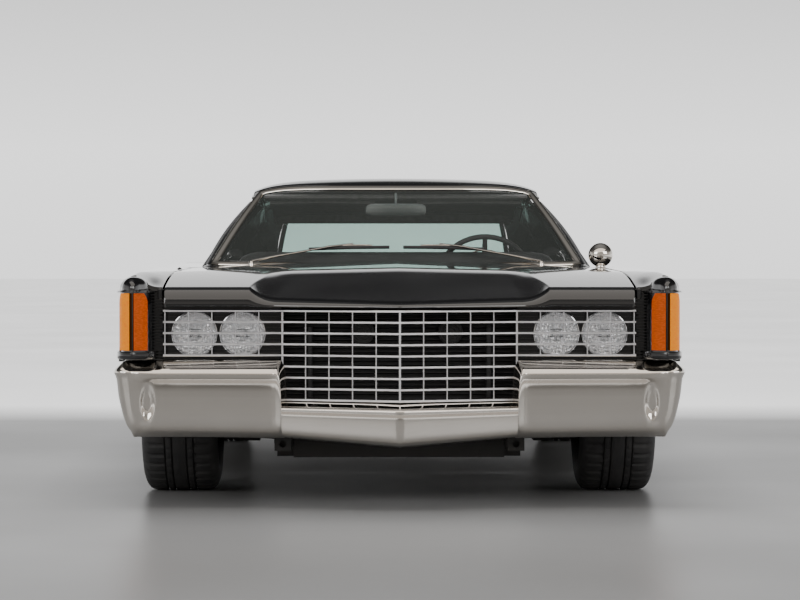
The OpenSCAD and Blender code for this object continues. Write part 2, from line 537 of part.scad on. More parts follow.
// ---- wheels --------------------------------------------------------------
module tyre_ring() {
  h = tyre_w / 2; r = tyre_r;
  rotate([0, 90, 0]) rotate_extrude($fn = 96) polygon([[rim_r + 1, -h + 22], [rim_r + 22, -h + 8], [rim_r + 52, -h], [r - 42, -h + 3], [r - 22, -h + 10], [r - 9, -h + 21], [r - 2, -h + 34], [r, -h + 48],
    [r, h - 48], [r - 2, h - 34], [r - 9, h - 21], [r - 22, h - 10], [r - 42, h - 3], [rim_r + 52, h], [rim_r + 22, h - 8], [rim_r + 1, h - 22]]);
}
// rim with its brake disc behind the spokes; +X is the outer face
module rim_disc() {
  rotate([0, 90, 0]) difference() {
    union() {
      rotate_extrude($fn = 96) polygon([[rim_r - 16, -118], [rim_r, -118], [rim_r, 122], [rim_r - 8, 124], [rim_r - 24, 118], [rim_r - 26, 100], [rim_r - 18, 92], [rim_r - 18, -110]]);
      rotate_extrude($fn = 96) polygon([[22, 44], [90, 44], [110, 62], [rim_r - 40, 90], [rim_r - 16, 92], [rim_r - 16, 108], [rim_r - 44, 110], [116, 84], [84, 78], [60, 92], [22, 96]]);
      rotate_extrude($fn = 96) polygon([[22, 20], [172, 20], [172, -6], [22, -6]]);
      rotate_extrude() polygon([[22, 14], [76, 14], [76, 50], [22, 50]]);
    }
    for (k = [0:9]) rotate([0, 0, 36 * k]) translate([172, 0, 30]) cylinder(r = 31, h = 120);
    for (k = [0:4]) rotate([0, 0, 72 * k + 18]) translate([bolt_circle / 2, 0, 60]) cylinder(r = 7, h = 60);
    translate([0, 0, -20]) cylinder(r = 20.05, h = 140);
  }
}
module wheel_at(sx, u) { at(sx * half_track, u, tyre_r) rotate([0, 0, sx > 0 ? 0 : 180]) children(); }
rubber = [0.05, 0.05, 0.05];
alloy = [0.6, 0.6, 0.62];
module front_left_tyre() { color(rubber) wheel_at(1, axle_f) tyre_ring(); }
module front_left_rim() { color(alloy) wheel_at(1, axle_f) rim_disc(); }
module front_right_tyre() { color(rubber) wheel_at(-1, axle_f) tyre_ring(); }
module front_right_rim() { color(alloy) wheel_at(-1, axle_f) rim_disc(); }
module rear_left_tyre() { color(rubber) wheel_at(1, axle_r) tyre_ring(); }
module rear_left_rim() { color(alloy) wheel_at(1, axle_r) rim_disc(); }
module rear_right_tyre() { color(rubber) wheel_at(-1, axle_r) tyre_ring(); }
module rear_right_rim() { color(alloy) wheel_at(-1, axle_r) rim_disc(); }

// ---- cabin ---------------------------------------------------------------
module dashboard() {
  color(trim) difference() {
    side_prism([[2120, 800], [2150, 838], [2300, 842], [2350, 815], [2352, 770], [2310, 700], [2300, 560], [2250, 540], [2150, 640], [2120, 720]], -735, 735);
    column_at() translate([0, 0, -560]) cylinder(r = 40, h = 560);
  }
}
col_a = -62;
module column_at() { at(380, 2470, 790) rotate([col_a, 0, 0]) children(); }
module steering_column() {
  color(trim) column_at() translate([0, 0, 0]) union() {
    translate([0, 0, -330]) cylinder(r = 32, h = 300);
    translate([0, 0, -40]) cylinder(r = 13, h = 34);
    translate([0, 0, -500]) cylinder(r = 14, h = 180);
  }
}
module steering_wheel() {
  color(trim) column_at() difference() {
    union() {
      rotate_extrude($fn = 64) translate([194, 14]) circle(r = 12, $fn = 24);
      translate([0, 0, -24]) cylinder(r = 46, h = 34);
      for (a = [0, 180]) rotate([0, 0, a]) translate([30, -16, -6]) cube([160, 32, 18]);
      rotate([0, 0, 270]) translate([30, -16, -6]) cube([160, 32, 18]);
    }
    translate([0, 0, -50]) cylinder(r = 13.06, h = 48);
  }
}
module front_seat() {
  color(trim) union() {
    side_prism([[2560, 330], [2540, 400], [2570, 448], [2700, 455], [3010, 420], [3030, 330]], -640, 640);
    side_prism([[2990, 400], [3030, 330], [3110, 330], [3240, 800], [3235, 836], [3180, 840], [3140, 800]], -640, 640);
    box(-560, 560, 2620, 3000, 200, 330);
  }
}
module rear_seat() {
  color(trim) union() {
    side_prism([[3600, 332], [3580, 426], [3620, 456], [4000, 424], [4000, 332]], -612, 612);
    side_prism([[3900, 430], [3900, 332], [4044, 332], [4044, 764], [4030, 794], [3996, 790]], -612, 612);
  }
}
module wipers() {
  color(chrome) for (q = [[-600, 1], [600, -1]]) {
    at(q[0], base_u(q[0]) - 34, base_z(q[0]) - 13) cylinder(r = 12, h = 18);
    arm = function (h) [for (t = [0, 1]) let (x = q[0] + q[1] * 430 * t, u = mix(base_u(600) - 38, 2046, t), z = mix(base_z(600) + 4, 936, t) + h) [P(x, u, z), P(x, u + 16, z)]];
    slab(arm(12), arm(0), q[1] > 0);
  }
}
floor_pan();
frame();
engine();
radiator();
front_bumper();
grille();
lamp_housings();
headlamps();
front_signal_lamps();
front_fenders();
front_wheelhouses();
hood();
cowl();
hinge_pillars();
wipers();
windshield();
roof();
sail_panels();
quarter_windows();
rear_window();
quarter_panels();
rear_shelf();
luggage_lid();
luggage_floor();
rear_wheelhouses();
tail_panel();
tail_lamps();
rear_bumper();
fuel_tank();
exhaust();
front_control_arms();
rear_axle();
leaf_springs();
dashboard();
steering_column();
steering_wheel();
front_seat();
rear_seat();
left_door();
left_door_glass();
side_mirror();
right_door();
right_door_glass();
left_knuckle();
right_knuckle();
front_left_tyre();
front_left_rim();
front_right_tyre();
front_right_rim();
rear_left_tyre();
rear_left_rim();
rear_right_tyre();
rear_right_rim();
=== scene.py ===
import bpy, bmesh, math, json
import numpy as np
from mathutils import Vector, Matrix


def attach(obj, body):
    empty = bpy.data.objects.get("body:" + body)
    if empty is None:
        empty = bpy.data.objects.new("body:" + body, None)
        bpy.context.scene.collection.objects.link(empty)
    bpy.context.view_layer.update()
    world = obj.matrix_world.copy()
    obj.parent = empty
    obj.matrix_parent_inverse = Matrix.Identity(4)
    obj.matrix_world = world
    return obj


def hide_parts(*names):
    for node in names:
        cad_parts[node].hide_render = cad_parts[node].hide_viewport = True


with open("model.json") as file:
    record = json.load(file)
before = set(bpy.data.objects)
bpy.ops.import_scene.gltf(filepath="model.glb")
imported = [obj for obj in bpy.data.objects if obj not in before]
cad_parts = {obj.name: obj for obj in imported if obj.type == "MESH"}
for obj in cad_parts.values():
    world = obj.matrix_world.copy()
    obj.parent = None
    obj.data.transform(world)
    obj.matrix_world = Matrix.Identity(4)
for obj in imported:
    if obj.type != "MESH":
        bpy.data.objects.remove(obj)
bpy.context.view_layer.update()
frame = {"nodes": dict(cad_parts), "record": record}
scene = bpy.context.scene
HALF_L = 5613 / 2

# ---------------------------------------------------------------- mesh helpers
def to_m(p):
    """(x, u, z) in mm, u from the tip of the front bumper, to metres in the frame."""
    q = np.array(p, dtype=float).reshape(-1, 3).copy()
    q[:, 1] -= HALF_L
    return q / 1000.0


def make(name, verts, faces, mat, body, nodes=(), angle=38, fix=True, smooth=True):
    me = bpy.data.meshes.new(name)
    me.from_pydata([tuple(v) for v in to_m(verts)], [], [tuple(int(i) for i in f) for f in faces])
    if fix:
        bm = bmesh.new()
        bm.from_mesh(me)
        bmesh.ops.recalc_face_normals(bm, faces=bm.faces)
        bm.to_mesh(me)
        bm.free()
    me.polygons.foreach_set("use_smooth", [smooth] * len(me.polygons))
    if smooth and angle:
        me.set_sharp_from_angle(angle=math.radians(angle))
    me.materials.append(mat)
    ob = bpy.data.objects.new(name, me)
    scene.collection.objects.link(ob)
    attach(ob, body)
    if nodes:
        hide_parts(*nodes)
    return ob


def mirror(p):
    q = np.array(p, dtype=float).copy()
    q[..., 0] *= -1
    return q


def quads(n, m, o=0, wi=False, wj=False):
    f = []
    for i in range(n if wi else n - 1):
        for j in range(m if wj else m - 1):
            a, b = (i + 1) % n, (j + 1) % m
            f.append((o + i * m + j, o + i * m + b, o + a * m + b, o + a * m + j))
    return f


def slab_geo(O, I, r=3.0):
    """Closed sheet between outer grid O and inner grid I, its outer edges rolled over a small radius."""
    O, I = np.array(O, float), np.array(I, float)
    n, m = O.shape[:2]
    if r > 0:
        di = np.gradient(O, axis=0)
        dj = np.gradient(O, axis=1)
        nn = np.cross(di, dj)
        ln = np.linalg.norm(nn, axis=2, keepdims=True)
        nn = nn / np.maximum(ln, 1e-9)
        sg = np.sign((nn * (O - I)).sum(axis=2, keepdims=True))
        nn = nn * np.where(sg == 0, 1, sg)
        ti = di / np.maximum(np.linalg.norm(di, axis=2, keepdims=True), 1e-9)
        tj = dj / np.maximum(np.linalg.norm(dj, axis=2, keepdims=True), 1e-9)
        pull = [0.0, 0.29 * r, r]
        drop = [r, 0.29 * r, 0.0]

        def idx(k):
            src, sgn, pl, dr = [], [], [], []
            for a in range(k + 4):
                s = min(max(a - 2, 0), k - 1)
                src.append(s)
                if a <= 2:
                    sgn.append(1.0); pl.append(pull[a]); dr.append(drop[a])
                elif a >= k + 1:
                    b = k + 3 - a
                    sgn.append(-1.0); pl.append(pull[b]); dr.append(drop[b])
                else:
                    sgn.append(0.0); pl.append(0.0); dr.append(0.0)
            return np.array(src), np.array(sgn) * np.array(pl), np.array(dr)
        si, pi_, di_ = idx(n)
        sj, pj_, dj_ = idx(m)
        g = np.ix_(si, sj)
        O2 = O[g] + ti[g] * pi_[:, None, None] + tj[g] * pj_[None, :, None] \
            - nn[g] * np.maximum(di_[:, None], dj_[None, :])[:, :, None]
        dIi = np.gradient(I, axis=0); dIj = np.gradient(I, axis=1)
        tIi = dIi / np.maximum(np.linalg.norm(dIi, axis=2, keepdims=True), 1e-9)
        tIj = dIj / np.maximum(np.linalg.norm(dIj, axis=2, keepdims=True), 1e-9)
        I2 = I[g] + tIi[g] * pi_[:, None, None] + tIj[g] * pj_[None, :, None]
        O, I = O2, I2
        n, m = n + 4, m + 4
    V = np.concatenate([O.reshape(-1, 3), I.reshape(-1, 3)])
    k = n * m
    F = quads(n, m) + [(k + a, k + b, k + c, k + d) for d, c, b, a in quads(n, m)]
    for j in range(m - 1):
        F.append((j + 1, j, k + j, k + j + 1))
        b = (n - 1) * m
        F.append((b + j, b + j + 1, k + b + j + 1, k + b + j))
    for i in range(n - 1):
        F.append((i * m, (i + 1) * m, k + (i + 1) * m, k + i * m))
        b = m - 1
        F.append(((i + 1) * m + b, i * m + b, k + i * m + b, k + (i + 1) * m + b))
    return V, F


def slab(name, O, I, mat, body, nodes=(), r=3.0, angle=38):
    V, F = slab_geo(O, I, r)
    return make(name, V, F, mat, body, nodes, angle)


def join(parts):
    """Several (verts, faces) as one."""
    V, F, o = [], [], 0
    for v, f in parts:
        v = np.array(v, float).reshape(-1, 3)
        V.append(v)
        F += [tuple(i + o for i in q) for q in f]
        o += len(v)
    return np.concatenate(V), F


def smooth_path(pts, per=8):
    """Catmull-Rom through the points."""
    p = np.array(pts, float)
    q = np.vstack([2 * p[0] - p[1], p, 2 * p[-1] - p[-2]])
    out = []
    for i in range(len(p) - 1):
        a, b, c, d = q[i], q[i + 1], q[i + 2], q[i + 3]
        for k in range(per):
            t = k / per
            out.append(0.5 * (2 * b + (c - a) * t + (2 * a - 5 * b + 4 * c - d) * t * t + (3 * b - a - 3 * c + d) * t ** 3))
    out.append(p[-1])
    return np.array(out)


def tube(path, rad, sides=10, up=(0, 0, 1), flat=1.0, closed=False, caps=True):
    """Swept round (or flattened) bar along the points; rad may be a list."""
    p = np.array(path, float)
    n = len(p)
    rad = np.full(n, rad) if np.isscalar(rad) else np.array(rad, float)
    if closed:
        t = np.roll(p, -1, 0) - np.roll(p, 1, 0)
    else:
        t = np.gradient(p, axis=0)
    t /= np.maximum(np.linalg.norm(t, axis=1, keepdims=True), 1e-9)
    up = np.array(up, float)
    V = []
    for i in range(n):
        s = np.cross(t[i], up)
        if np.linalg.norm(s) < 1e-4:
            s = np.cross(t[i], np.array([1.0, 0.3, 0.1]))
        s /= np.linalg.norm(s)
        v = np.cross(s, t[i])
        for k in range(sides):
            a = 2 * math.pi * k / sides
            V.append(p[i] + rad[i] * (math.cos(a) * s + flat * math.sin(a) * v))
    F = quads(n, sides, wi=closed, wj=True)
    if caps and not closed:
        F.append(tuple(range(sides - 1, -1, -1)))
        F.append(tuple((n - 1) * sides + k for k in range(sides)))
    return np.array(V), F


def bar(path, sec, up=(0, 0, 1)):
    """Sweep of a closed section (side, up offsets) along the points."""
    p = np.array(path, float)
    n, k = len(p), len(sec)
    t = np.gradient(p, axis=0)
    t /= np.maximum(np.linalg.norm(t, axis=1, keepdims=True), 1e-9)
    up = np.array(up, float)
    V = []
    for i in range(n):
        s = np.cross(t[i], up); s /= max(np.linalg.norm(s), 1e-9)
        v = np.cross(s, t[i])
        for a, b in sec:
            V.append(p[i] + a * s + b * v)
    F = quads(n, k, wj=True)
    F.append(tuple(range(k - 1, -1, -1)))
    F.append(tuple((n - 1) * k + q for q in range(k)))
    return np.array(V), F


def revolve(profile, centre, axis="y", seg=64, closed_profile=False):
    """Profile of (radius, along) about an axis through the centre."""
    c = np.array(centre, float)
    m = len(profile)
    V = []
    for k in range(seg):
        a = 2 * math.pi * k / seg
        for r, h in profile:
            if axis == "y":
                V.append(c + [r * math.cos(a), h, r * math.sin(a)])
            elif axis == "x":
                V.append(c + [h, r * math.cos(a), r * math.sin(a)])
            else:
                V.append(c + [r * math.cos(a), r * math.sin(a), h])
    return np.array(V), quads(seg, m, wi=True, wj=closed_profile)


def loft(rings, caps=True):
    """Closed rings of equal count, joined in order."""
    R = np.array(rings, float)
    n, m = R.shape[:2]
    F = quads(n, m, wj=True)
    if caps:
        F.append(tuple(range(m - 1, -1, -1)))
        F.append(tuple((n - 1) * m + k for k in range(m)))
    return R.reshape(-1, 3), F


# ---------------------------------------------------------------- body surfaces, as in the construction model
HW, CZ = 1014.5, 830.0
AF, AR = 990.0, 4038.0
HOOD_X, LID_X, DOOR0, DOOR1 = 838.0, 714.0, 1863.0, 3238.0


def S(t):
    c = np.clip(t, 0, 1)
    return c * c * (3 - 2 * c)


def mixf(a, b, t):
    return a + (b - a) * t


def smin(a, b, k):
    h = np.maximum(0, k - np.abs(a - b)) / k
    return np.minimum(a, b) - h * h * k / 4


def W(u):
    u = np.asarray(u, float)
    return HW - 14.5 * (np.clip(2500 - u, 0, None) / 2500) ** 2 - 40 * (np.clip(u - 3000, 0, None) / 2613) ** 2


def crest(u):
    u = np.asarray(u, float)
    return CZ + 0.0067 * u - 14 * np.clip(1 - np.clip(u - 90, 0, None) / 520, 0, None) ** 2 + 4 * S((u - 3260) / 340) - 48 * (np.clip(u - 3600, 0, None) / 1950) ** 1.6


def zin(u):
    u = np.asarray(u, float)
    return np.where(u < 1855, smin(772 + 0.125 * (u - 150), crest(u) - 4, 36), crest(u) - 4 - 22 * S((u - 4480) / 500))


def side(u, z):
    zs = crest(u) - 40
    t = (530 - z) / 365
    return np.where(z < 530, W(u) - 6 * t - 46 * t * t, W(u) - 20 * (z - 530) / (zs - 530))


def section(u, zl, xi, th, n1=13, n2=11, na=9, nt=11, dz=0.0):
    """Body section at station u from its lower edge over the crest to its inner edge; th moves it inward."""
    c, e = float(crest(u)), float(W(u)) - 62
    zs = c - 40
    if zl < 529:
        z = np.concatenate([np.linspace(zl, 530, n1), np.linspace(530, zs, n2)[1:]])
    else:
        z = np.linspace(zl, zs, n1 + n2 - 1)
    pts = [(float(side(u, q)) - th, q) for q in z]
    for a in np.linspace(0, math.pi / 2, na)[1:]:
        pts.append((e + (42 - th) * math.cos(a), c - 40 + (40 - th) * math.sin(a)))
    zi = float(zin(u))
    f = 1 - float(S((u - 204) / 350))
    for k in np.linspace(0, 1, nt)[1:]:
        pts.append((mixf(e, xi, k), c - (c - zi) * k ** (1.6 - 0.6 * f) - 13 * f * math.sin(math.pi * k) - th))
    return [(x, u, q) for x, q in pts]


def hood_front(x):
    a = np.abs(x)
    return np.where(a < 450, 62 + 108 * a / 450, 170.0)


def hood_rise(x):
    return 24 * (1 - (x / HOOD_X) ** 2)


def hood_z(x, u):
    a = np.abs(x)
    p = smin(724 + 0.19 * (u - 62), 846 + 0.02 * (u - 700), 16) - 10 * a / 450
    s = zin(u) + hood_rise(x) * S((u - 150) / 1500)
    t = np.clip((a - 440 + 68 * S((u - 150) / 600)) / 95, 0, 1)
    return mixf(s, p, 1 - t * t)


def hood_skin(x, d):
    u = hood_front(x) + d
    r = np.where(d < 42, 1 - np.sqrt(np.clip(1 - (1 - np.minimum(d, 42) / 42) ** 2, 0, 1)), 0)
    z0 = hood_z(x, hood_front(x) + 42)
    return hood_z(x, u) - np.maximum(0, z0 - 719) * r


def base_u(x):
    return 1940 + 145 * (x / 765) ** 2


def base_z(x):
    return 850 + 12 * (x / 765) ** 2


def head_u(x):
    return 2450 + 90 * (x / 585) ** 2


def top_z(u):
    u = np.asarray(u, float)
    return 1222 - np.where(u < 3000, 34 * (np.clip(2690 - u, 0, None) / 240) ** 1.8, 104 * (np.clip(u - 3000, 0, None) / 962) ** 2.2)


def roof_h(x, u):
    q = np.abs(x) / 612
    return top_z(u) - 20 * q * q - 34 * q ** 8


def glass_x(z):
    return 806 - 0.68 * (z - 850)


# ---------------------------------------------------------------- materials
def new_mat(name):
    m = bpy.data.materials.new(name)
    m.use_nodes = True
    nt = m.node_tree
    return m, nt, nt.nodes["Principled BSDF"]


def coords(nt):
    return nt.nodes.new("ShaderNodeTexCoord").outputs["Object"]


def noise(nt, vec, scale, detail=3.0, rough=0.5):
    n = nt.nodes.new("ShaderNodeTexNoise")
    n.inputs["Scale"].default_value = scale
    n.inputs["Detail"].default_value = detail
    n.inputs["Roughness"].default_value = rough
    nt.links.new(vec, n.inputs["Vector"])
    return n.outputs["Fac"]


def ramp(nt, fac, lo, hi, p0=0.3, p1=0.7):
    r = nt.nodes.new("ShaderNodeValToRGB")
    r.color_ramp.elements[0].position = p0
    r.color_ramp.elements[1].position = p1
    r.color_ramp.elements[0].color = (*lo, 1)
    r.color_ramp.elements[1].color = (*hi, 1)
    nt.links.new(fac, r.inputs["Fac"])
    return r.outputs["Color"]


def maprange(nt, fac, lo, hi, a=0.3, b=0.7):
    r = nt.nodes.new("ShaderNodeMapRange")
    r.inputs["From Min"].default_value = a
    r.inputs["From Max"].default_value = b
    r.inputs["To Min"].default_value = lo
    r.inputs["To Max"].default_value = hi
    nt.links.new(fac, r.inputs["Value"])
    return r.outputs["Result"]


def bump(nt, height, strength, dist, base=None):
    b = nt.nodes.new("ShaderNodeBump")
    b.inputs["Strength"].default_value = strength
    b.inputs["Distance"].default_value = dist
    nt.links.new(height, b.inputs["Height"])
    if base is not None:
        nt.links.new(base, b.inputs["Normal"])
    return b.outputs["Normal"]


def stretch(nt, vec, sx, sy, sz):
    m = nt.nodes.new("ShaderNodeMapping")
    m.inputs["Scale"].default_value = (sx, sy, sz)
    nt.links.new(vec, m.inputs["Vector"])
    return m.outputs["Vector"]


def mat_general(name, lo, hi, scale, metallic=0.0, r0=0.3, r1=0.45, bscale=200.0, bstr=0.1, bdist=0.0005, coat=0.0, coat_r=0.05, spec=0.5, detail=4.0):
    m, nt, p = new_mat(name)
    v = coords(nt)
    f = noise(nt, v, scale, detail)
    nt.links.new(ramp(nt, f, lo, hi), p.inputs["Base Color"])
    nt.links.new(maprange(nt, f, r0, r1), p.inputs["Roughness"])
    p.inputs["Metallic"].default_value = metallic
    p.inputs["Coat Weight"].default_value = coat
    p.inputs["Coat Roughness"].default_value = coat_r
    p.inputs["Specular IOR Level"].default_value = spec
    if bstr:
        nt.links.new(bump(nt, noise(nt, v, bscale, 2.0), bstr, bdist), p.inputs["Normal"])
    return m


def mat_paint():
    m, nt, p = new_mat("black_paint")
    v = coords(nt)
    f = noise(nt, v, 2.2, 4)
    nt.links.new(ramp(nt, f, (0.0035, 0.0035, 0.004), (0.006, 0.006, 0.0065)), p.inputs["Base Color"])
    nt.links.new(maprange(nt, f, 0.10, 0.16), p.inputs["Roughness"])
    p.inputs["Coat Weight"].default_value = 1.0
    p.inputs["Coat Roughness"].default_value = 0.02
    p.inputs["Coat IOR"].default_value = 1.5
    nt.links.new(bump(nt, noise(nt, v, 260, 2), 0.012, 0.0004), p.inputs["Normal"])
    return m


def mat_chrome(name="chrome_plate", col=(0.74, 0.70, 0.645), r0=0.035, r1=0.075):
    m, nt, p = new_mat(name)
    v = coords(nt)
    f = noise(nt, v, 5.0, 5)
    nt.links.new(ramp(nt, f, tuple(c * 0.96 for c in col), col), p.inputs["Base Color"])
    nt.links.new(maprange(nt, f, r0, r1), p.inputs["Roughness"])
    p.inputs["Metallic"].default_value = 1.0
    nt.links.new(bump(nt, noise(nt, v, 7.0, 2), 0.02, 0.004), p.inputs["Normal"])
    return m


def mat_glass(name, col, alpha, r=0.02):
    m, nt, p = new_mat(name)
    v = coords(nt)
    f = noise(nt, v, 3.0, 3)
    nt.links.new(ramp(nt, f, tuple(c * 0.9 for c in col), col), p.inputs["Base Color"])
    nt.links.new(maprange(nt, f, r, r + 0.03), p.inputs["Roughness"])
    p.inputs["Alpha"].default_value = alpha
    p.inputs["Specular IOR Level"].default_value = 0.5
    return m


def mat_lens(name, lo, hi, scale, sx, sy, sz, painted_glow=0.0, trans=0.0, rough=0.2, bstr=0.4, coat=1.0, spec=0.5):
    m, nt, p = new_mat(name)
    v = stretch(nt, coords(nt), sx, sy, sz)
    w = nt.nodes.new("ShaderNodeTexVoronoi")
    w.feature = "F1"
    w.inputs["Scale"].default_value = scale
    nt.links.new(v, w.inputs["Vector"])
    nt.links.new(ramp(nt, w.outputs["Distance"], hi, lo, 0.1, 0.8), p.inputs["Base Color"])
    p.inputs["Roughness"].default_value = rough
    p.inputs["Transmission Weight"].default_value = trans
    p.inputs["Coat Weight"].default_value = coat
    p.inputs["Coat Roughness"].default_value = 0.03
    p.inputs["Specular IOR Level"].default_value = spec
    # painted glow: the lens emits its own colour, though the lamp is unlit
    if painted_glow:
        p.inputs["Emission Color"].default_value = (*hi, 1)
        p.inputs["Emission Strength"].default_value = painted_glow
    nt.links.new(bump(nt, w.outputs["Distance"], bstr, 0.002), p.inputs["Normal"])
    return m


def mat_leather(name, lo, hi):
    m, nt, p = new_mat(name)
    v = coords(nt)
    f = noise(nt, v, 9.0, 5)
    nt.links.new(ramp(nt, f, lo, hi), p.inputs["Base Color"])
    nt.links.new(maprange(nt, f, 0.38, 0.52), p.inputs["Roughness"])
    w = nt.nodes.new("ShaderNodeTexVoronoi")
    w.feature = "DISTANCE_TO_EDGE"
    w.inputs["Scale"].default_value = 420
    nt.links.new(v, w.inputs["Vector"])
    nt.links.new(bump(nt, w.outputs["Distance"], 0.25, 0.0006), p.inputs["Normal"])
    return m


def mat_tint(name, col):
    """Clear glass that colours what is seen through it."""
    m, nt, p = new_mat(name)
    f = noise(nt, coords(nt), 3.0, 3)
    nt.links.new(ramp(nt, f, tuple(c * 0.97 for c in col), col), p.inputs["Base Color"])
    p.inputs["Roughness"].default_value = 0.0
    p.inputs["Transmission Weight"].default_value = 1.0
    p.inputs["IOR"].default_value = 1.45
    return m


def mat_rubber():
    m, nt, p = new_mat("tyre_rubber")
    v = coords(nt)
    f = noise(nt, v, 14.0, 6)
    nt.links.new(ramp(nt, f, (0.026, 0.026, 0.027), (0.052, 0.051, 0.050)), p.inputs["Base Color"])
    nt.links.new(maprange(nt, f, 0.62, 0.8), p.inputs["Roughness"])
    nt.links.new(bump(nt, noise(nt, v, 500, 3), 0.25, 0.0005), p.inputs["Normal"])
    return m


def mat_floor():
    """Pale floor with painted light: its colour lightens and it glows by emission well away from the car, standing in
    for a lit studio sweep.
    """
    m, nt, p = new_mat("studio_floor_painted_glow")
    v = coords(nt)
    f = noise(nt, v, 0.5, 4)
    sp = nt.nodes.new("ShaderNodeSeparateXYZ")
    nt.links.new(v, sp.inputs[0])
    far = maprange(nt, sp.outputs["Y"], 0, 1, 2.9, 4.6)
    ab = nt.nodes.new("ShaderNodeMath")
    ab.operation = "ABSOLUTE"
    nt.links.new(sp.outputs["X"], ab.inputs[0])
    wide = maprange(nt, ab.outputs[0], 0, 1, 4.5, 8.0)
    mx = nt.nodes.new("ShaderNodeMath")
    mx.operation = "MAXIMUM"
    nt.links.new(far, mx.inputs[0])
    nt.links.new(wide, mx.inputs[1])
    t = mx.outputs[0]
    # painted light: the base colour lightens from 0.34 to 0.62 away from the car, and the emission below makes the far
    # floor glow
    nt.links.new(ramp(nt, t, (0.34, 0.34, 0.34), (0.62, 0.62, 0.615), 0.0, 1.0), p.inputs["Base Color"])
    nt.links.new(ramp(nt, t, (0.0, 0.0, 0.0), (0.98, 0.98, 0.98), 0.0, 1.0), p.inputs["Emission Color"])
    p.inputs["Emission Strength"].default_value = 1.0
    nt.links.new(maprange(nt, f, 0.30, 0.42), p.inputs["Roughness"])
    p.inputs["Specular IOR Level"].default_value = 0.3
    return m


PAINT = mat_paint()
CHROME = mat_chrome()
BRIGHT = mat_chrome("bright_trim", (0.86, 0.86, 0.87), 0.05, 0.12)
SILVER = mat_general("grille_silver", (0.86, 0.86, 0.88), (0.93, 0.93, 0.95), 30.0, metallic=1.0, r0=0.30, r1=0.40, bstr=0.05)
BLACK = mat_general("gloss_black", (0.006, 0.006, 0.007), (0.012, 0.012, 0.013), 6.0, r0=0.12, r1=0.22, bstr=0.02, coat=0.6)
SATIN = mat_general("satin_black", (0.010, 0.010, 0.011), (0.022, 0.021, 0.021), 5.0, r0=0.45, r1=0.65, bscale=160, bstr=0.25)
UNDER = mat_general("chassis_black", (0.018, 0.018, 0.018), (0.045, 0.042, 0.038), 4.0, r0=0.55, r1=0.8, bscale=60, bstr=0.35, bdist=0.001)
IRON = mat_general("engine_iron", (0.03, 0.04, 0.055), (0.06, 0.07, 0.085), 7.0, r0=0.45, r1=0.65, bscale=120, bstr=0.4, bdist=0.001)
PIPE = mat_general("exhaust_steel", (0.16, 0.14, 0.12), (0.32, 0.30, 0.28), 6.0, metallic=1.0, r0=0.4, r1=0.6, bscale=60, bstr=0.15)
GLASS = mat_glass("clear_shield", (0.115, 0.125, 0.115), 0.15)
TINT = mat_tint("green_glass", (0.46, 0.68, 0.61))
SIDE = mat_glass("side_glass", (0.095, 0.165, 0.150), 0.20)
MIRROR_SHELL = mat_general("mirror_shell", (0.10, 0.12, 0.115), (0.17, 0.19, 0.18), 6.0, metallic=0.3, r0=0.25, r1=0.4)
LENS = mat_glass("clear_glass", (0.80, 0.82, 0.84), 0.11)
# the amber lenses get a painted glow by emission, though the signal lamps are unlit
AMBER = mat_lens("amber_lens", (0.84, 0.20, 0.0), (1.0, 0.31, 0.0), 260, 0.3, 0.3, 1, painted_glow=0.34, bstr=0.12, coat=0.08, rough=0.45, spec=0.15)
AMBER_DEEP = mat_lens("amber_lens_deep", (0.50, 0.06, 0.0), (0.72, 0.11, 0.0), 260, 0.3, 0.3, 1, painted_glow=0.16, bstr=0.12, coat=0.08, rough=0.45, spec=0.15)
RED = mat_lens("red_lens", (0.22, 0.002, 0.004), (0.42, 0.006, 0.010), 120, 0.4, 1, 1)
RUBBER = mat_rubber()
ALLOY = mat_general("machined_alloy", (0.50, 0.50, 0.51), (0.66, 0.66, 0.67), 20.0, metallic=1.0, r0=0.18, r1=0.3, bscale=300, bstr=0.06)
LEATHER = mat_leather("black_leather", (0.012, 0.012, 0.013), (0.026, 0.025, 0.025))
VINYL = mat_leather("dash_vinyl", (0.010, 0.010, 0.011), (0.020, 0.020, 0.020))
HEADLINER = mat_general("headliner_cloth", (0.10, 0.10, 0.098), (0.14, 0.14, 0.137), 40.0, r0=0.85, r1=0.95, bscale=900, bstr=0.5)
CARPET = mat_general("carpet", (0.012, 0.012, 0.013), (0.03, 0.03, 0.03), 120.0, r0=0.9, r1=1.0, bscale=700, bstr=0.9, bdist=0.003)
MIRROR = mat_chrome("mirror_glass", (0.85, 0.86, 0.86), 0.01, 0.02)

# ---------------------------------------------------------------- camera, floor and light
cam_d = bpy.data.cameras.new("camera")
cam = bpy.data.objects.new("camera", cam_d)
scene.collection.objects.link(cam)
cam_d.sensor_width = 36.0
cam_d.lens = 3143 / 800 * 36
cam_d.clip_end = 200
cam.location = (-0.085, -HALF_L / 1000 - 11.0, 0.92)
cam.rotation_euler = (math.pi / 2 - math.atan(52 / 3143), 0, -math.atan(0.085 / 11.05))
scene.camera = cam

fm = bpy.data.meshes.new("floor")
g = 80.0
fm.from_pydata([(-g, -g, 0), (g, -g, 0), (g, g, 0), (-g, g, 0)], [], [(0, 1, 2, 3)])
fm.materials.append(mat_floor())
floor = bpy.data.objects.new("floor", fm)
scene.collection.objects.link(floor)

# soft studio: a bright band low all round, brightest behind the car, and a dim ceiling
world = bpy.data.worlds.new("studio")
scene.world = world
world.use_nodes = True
wn = world.node_tree
bg = wn.nodes["Background"]
tc = wn.nodes.new("ShaderNodeTexCoord")
sep = wn.nodes.new("ShaderNodeSeparateXYZ")
wn.links.new(tc.outputs["Generated"], sep.inputs["Vector"])


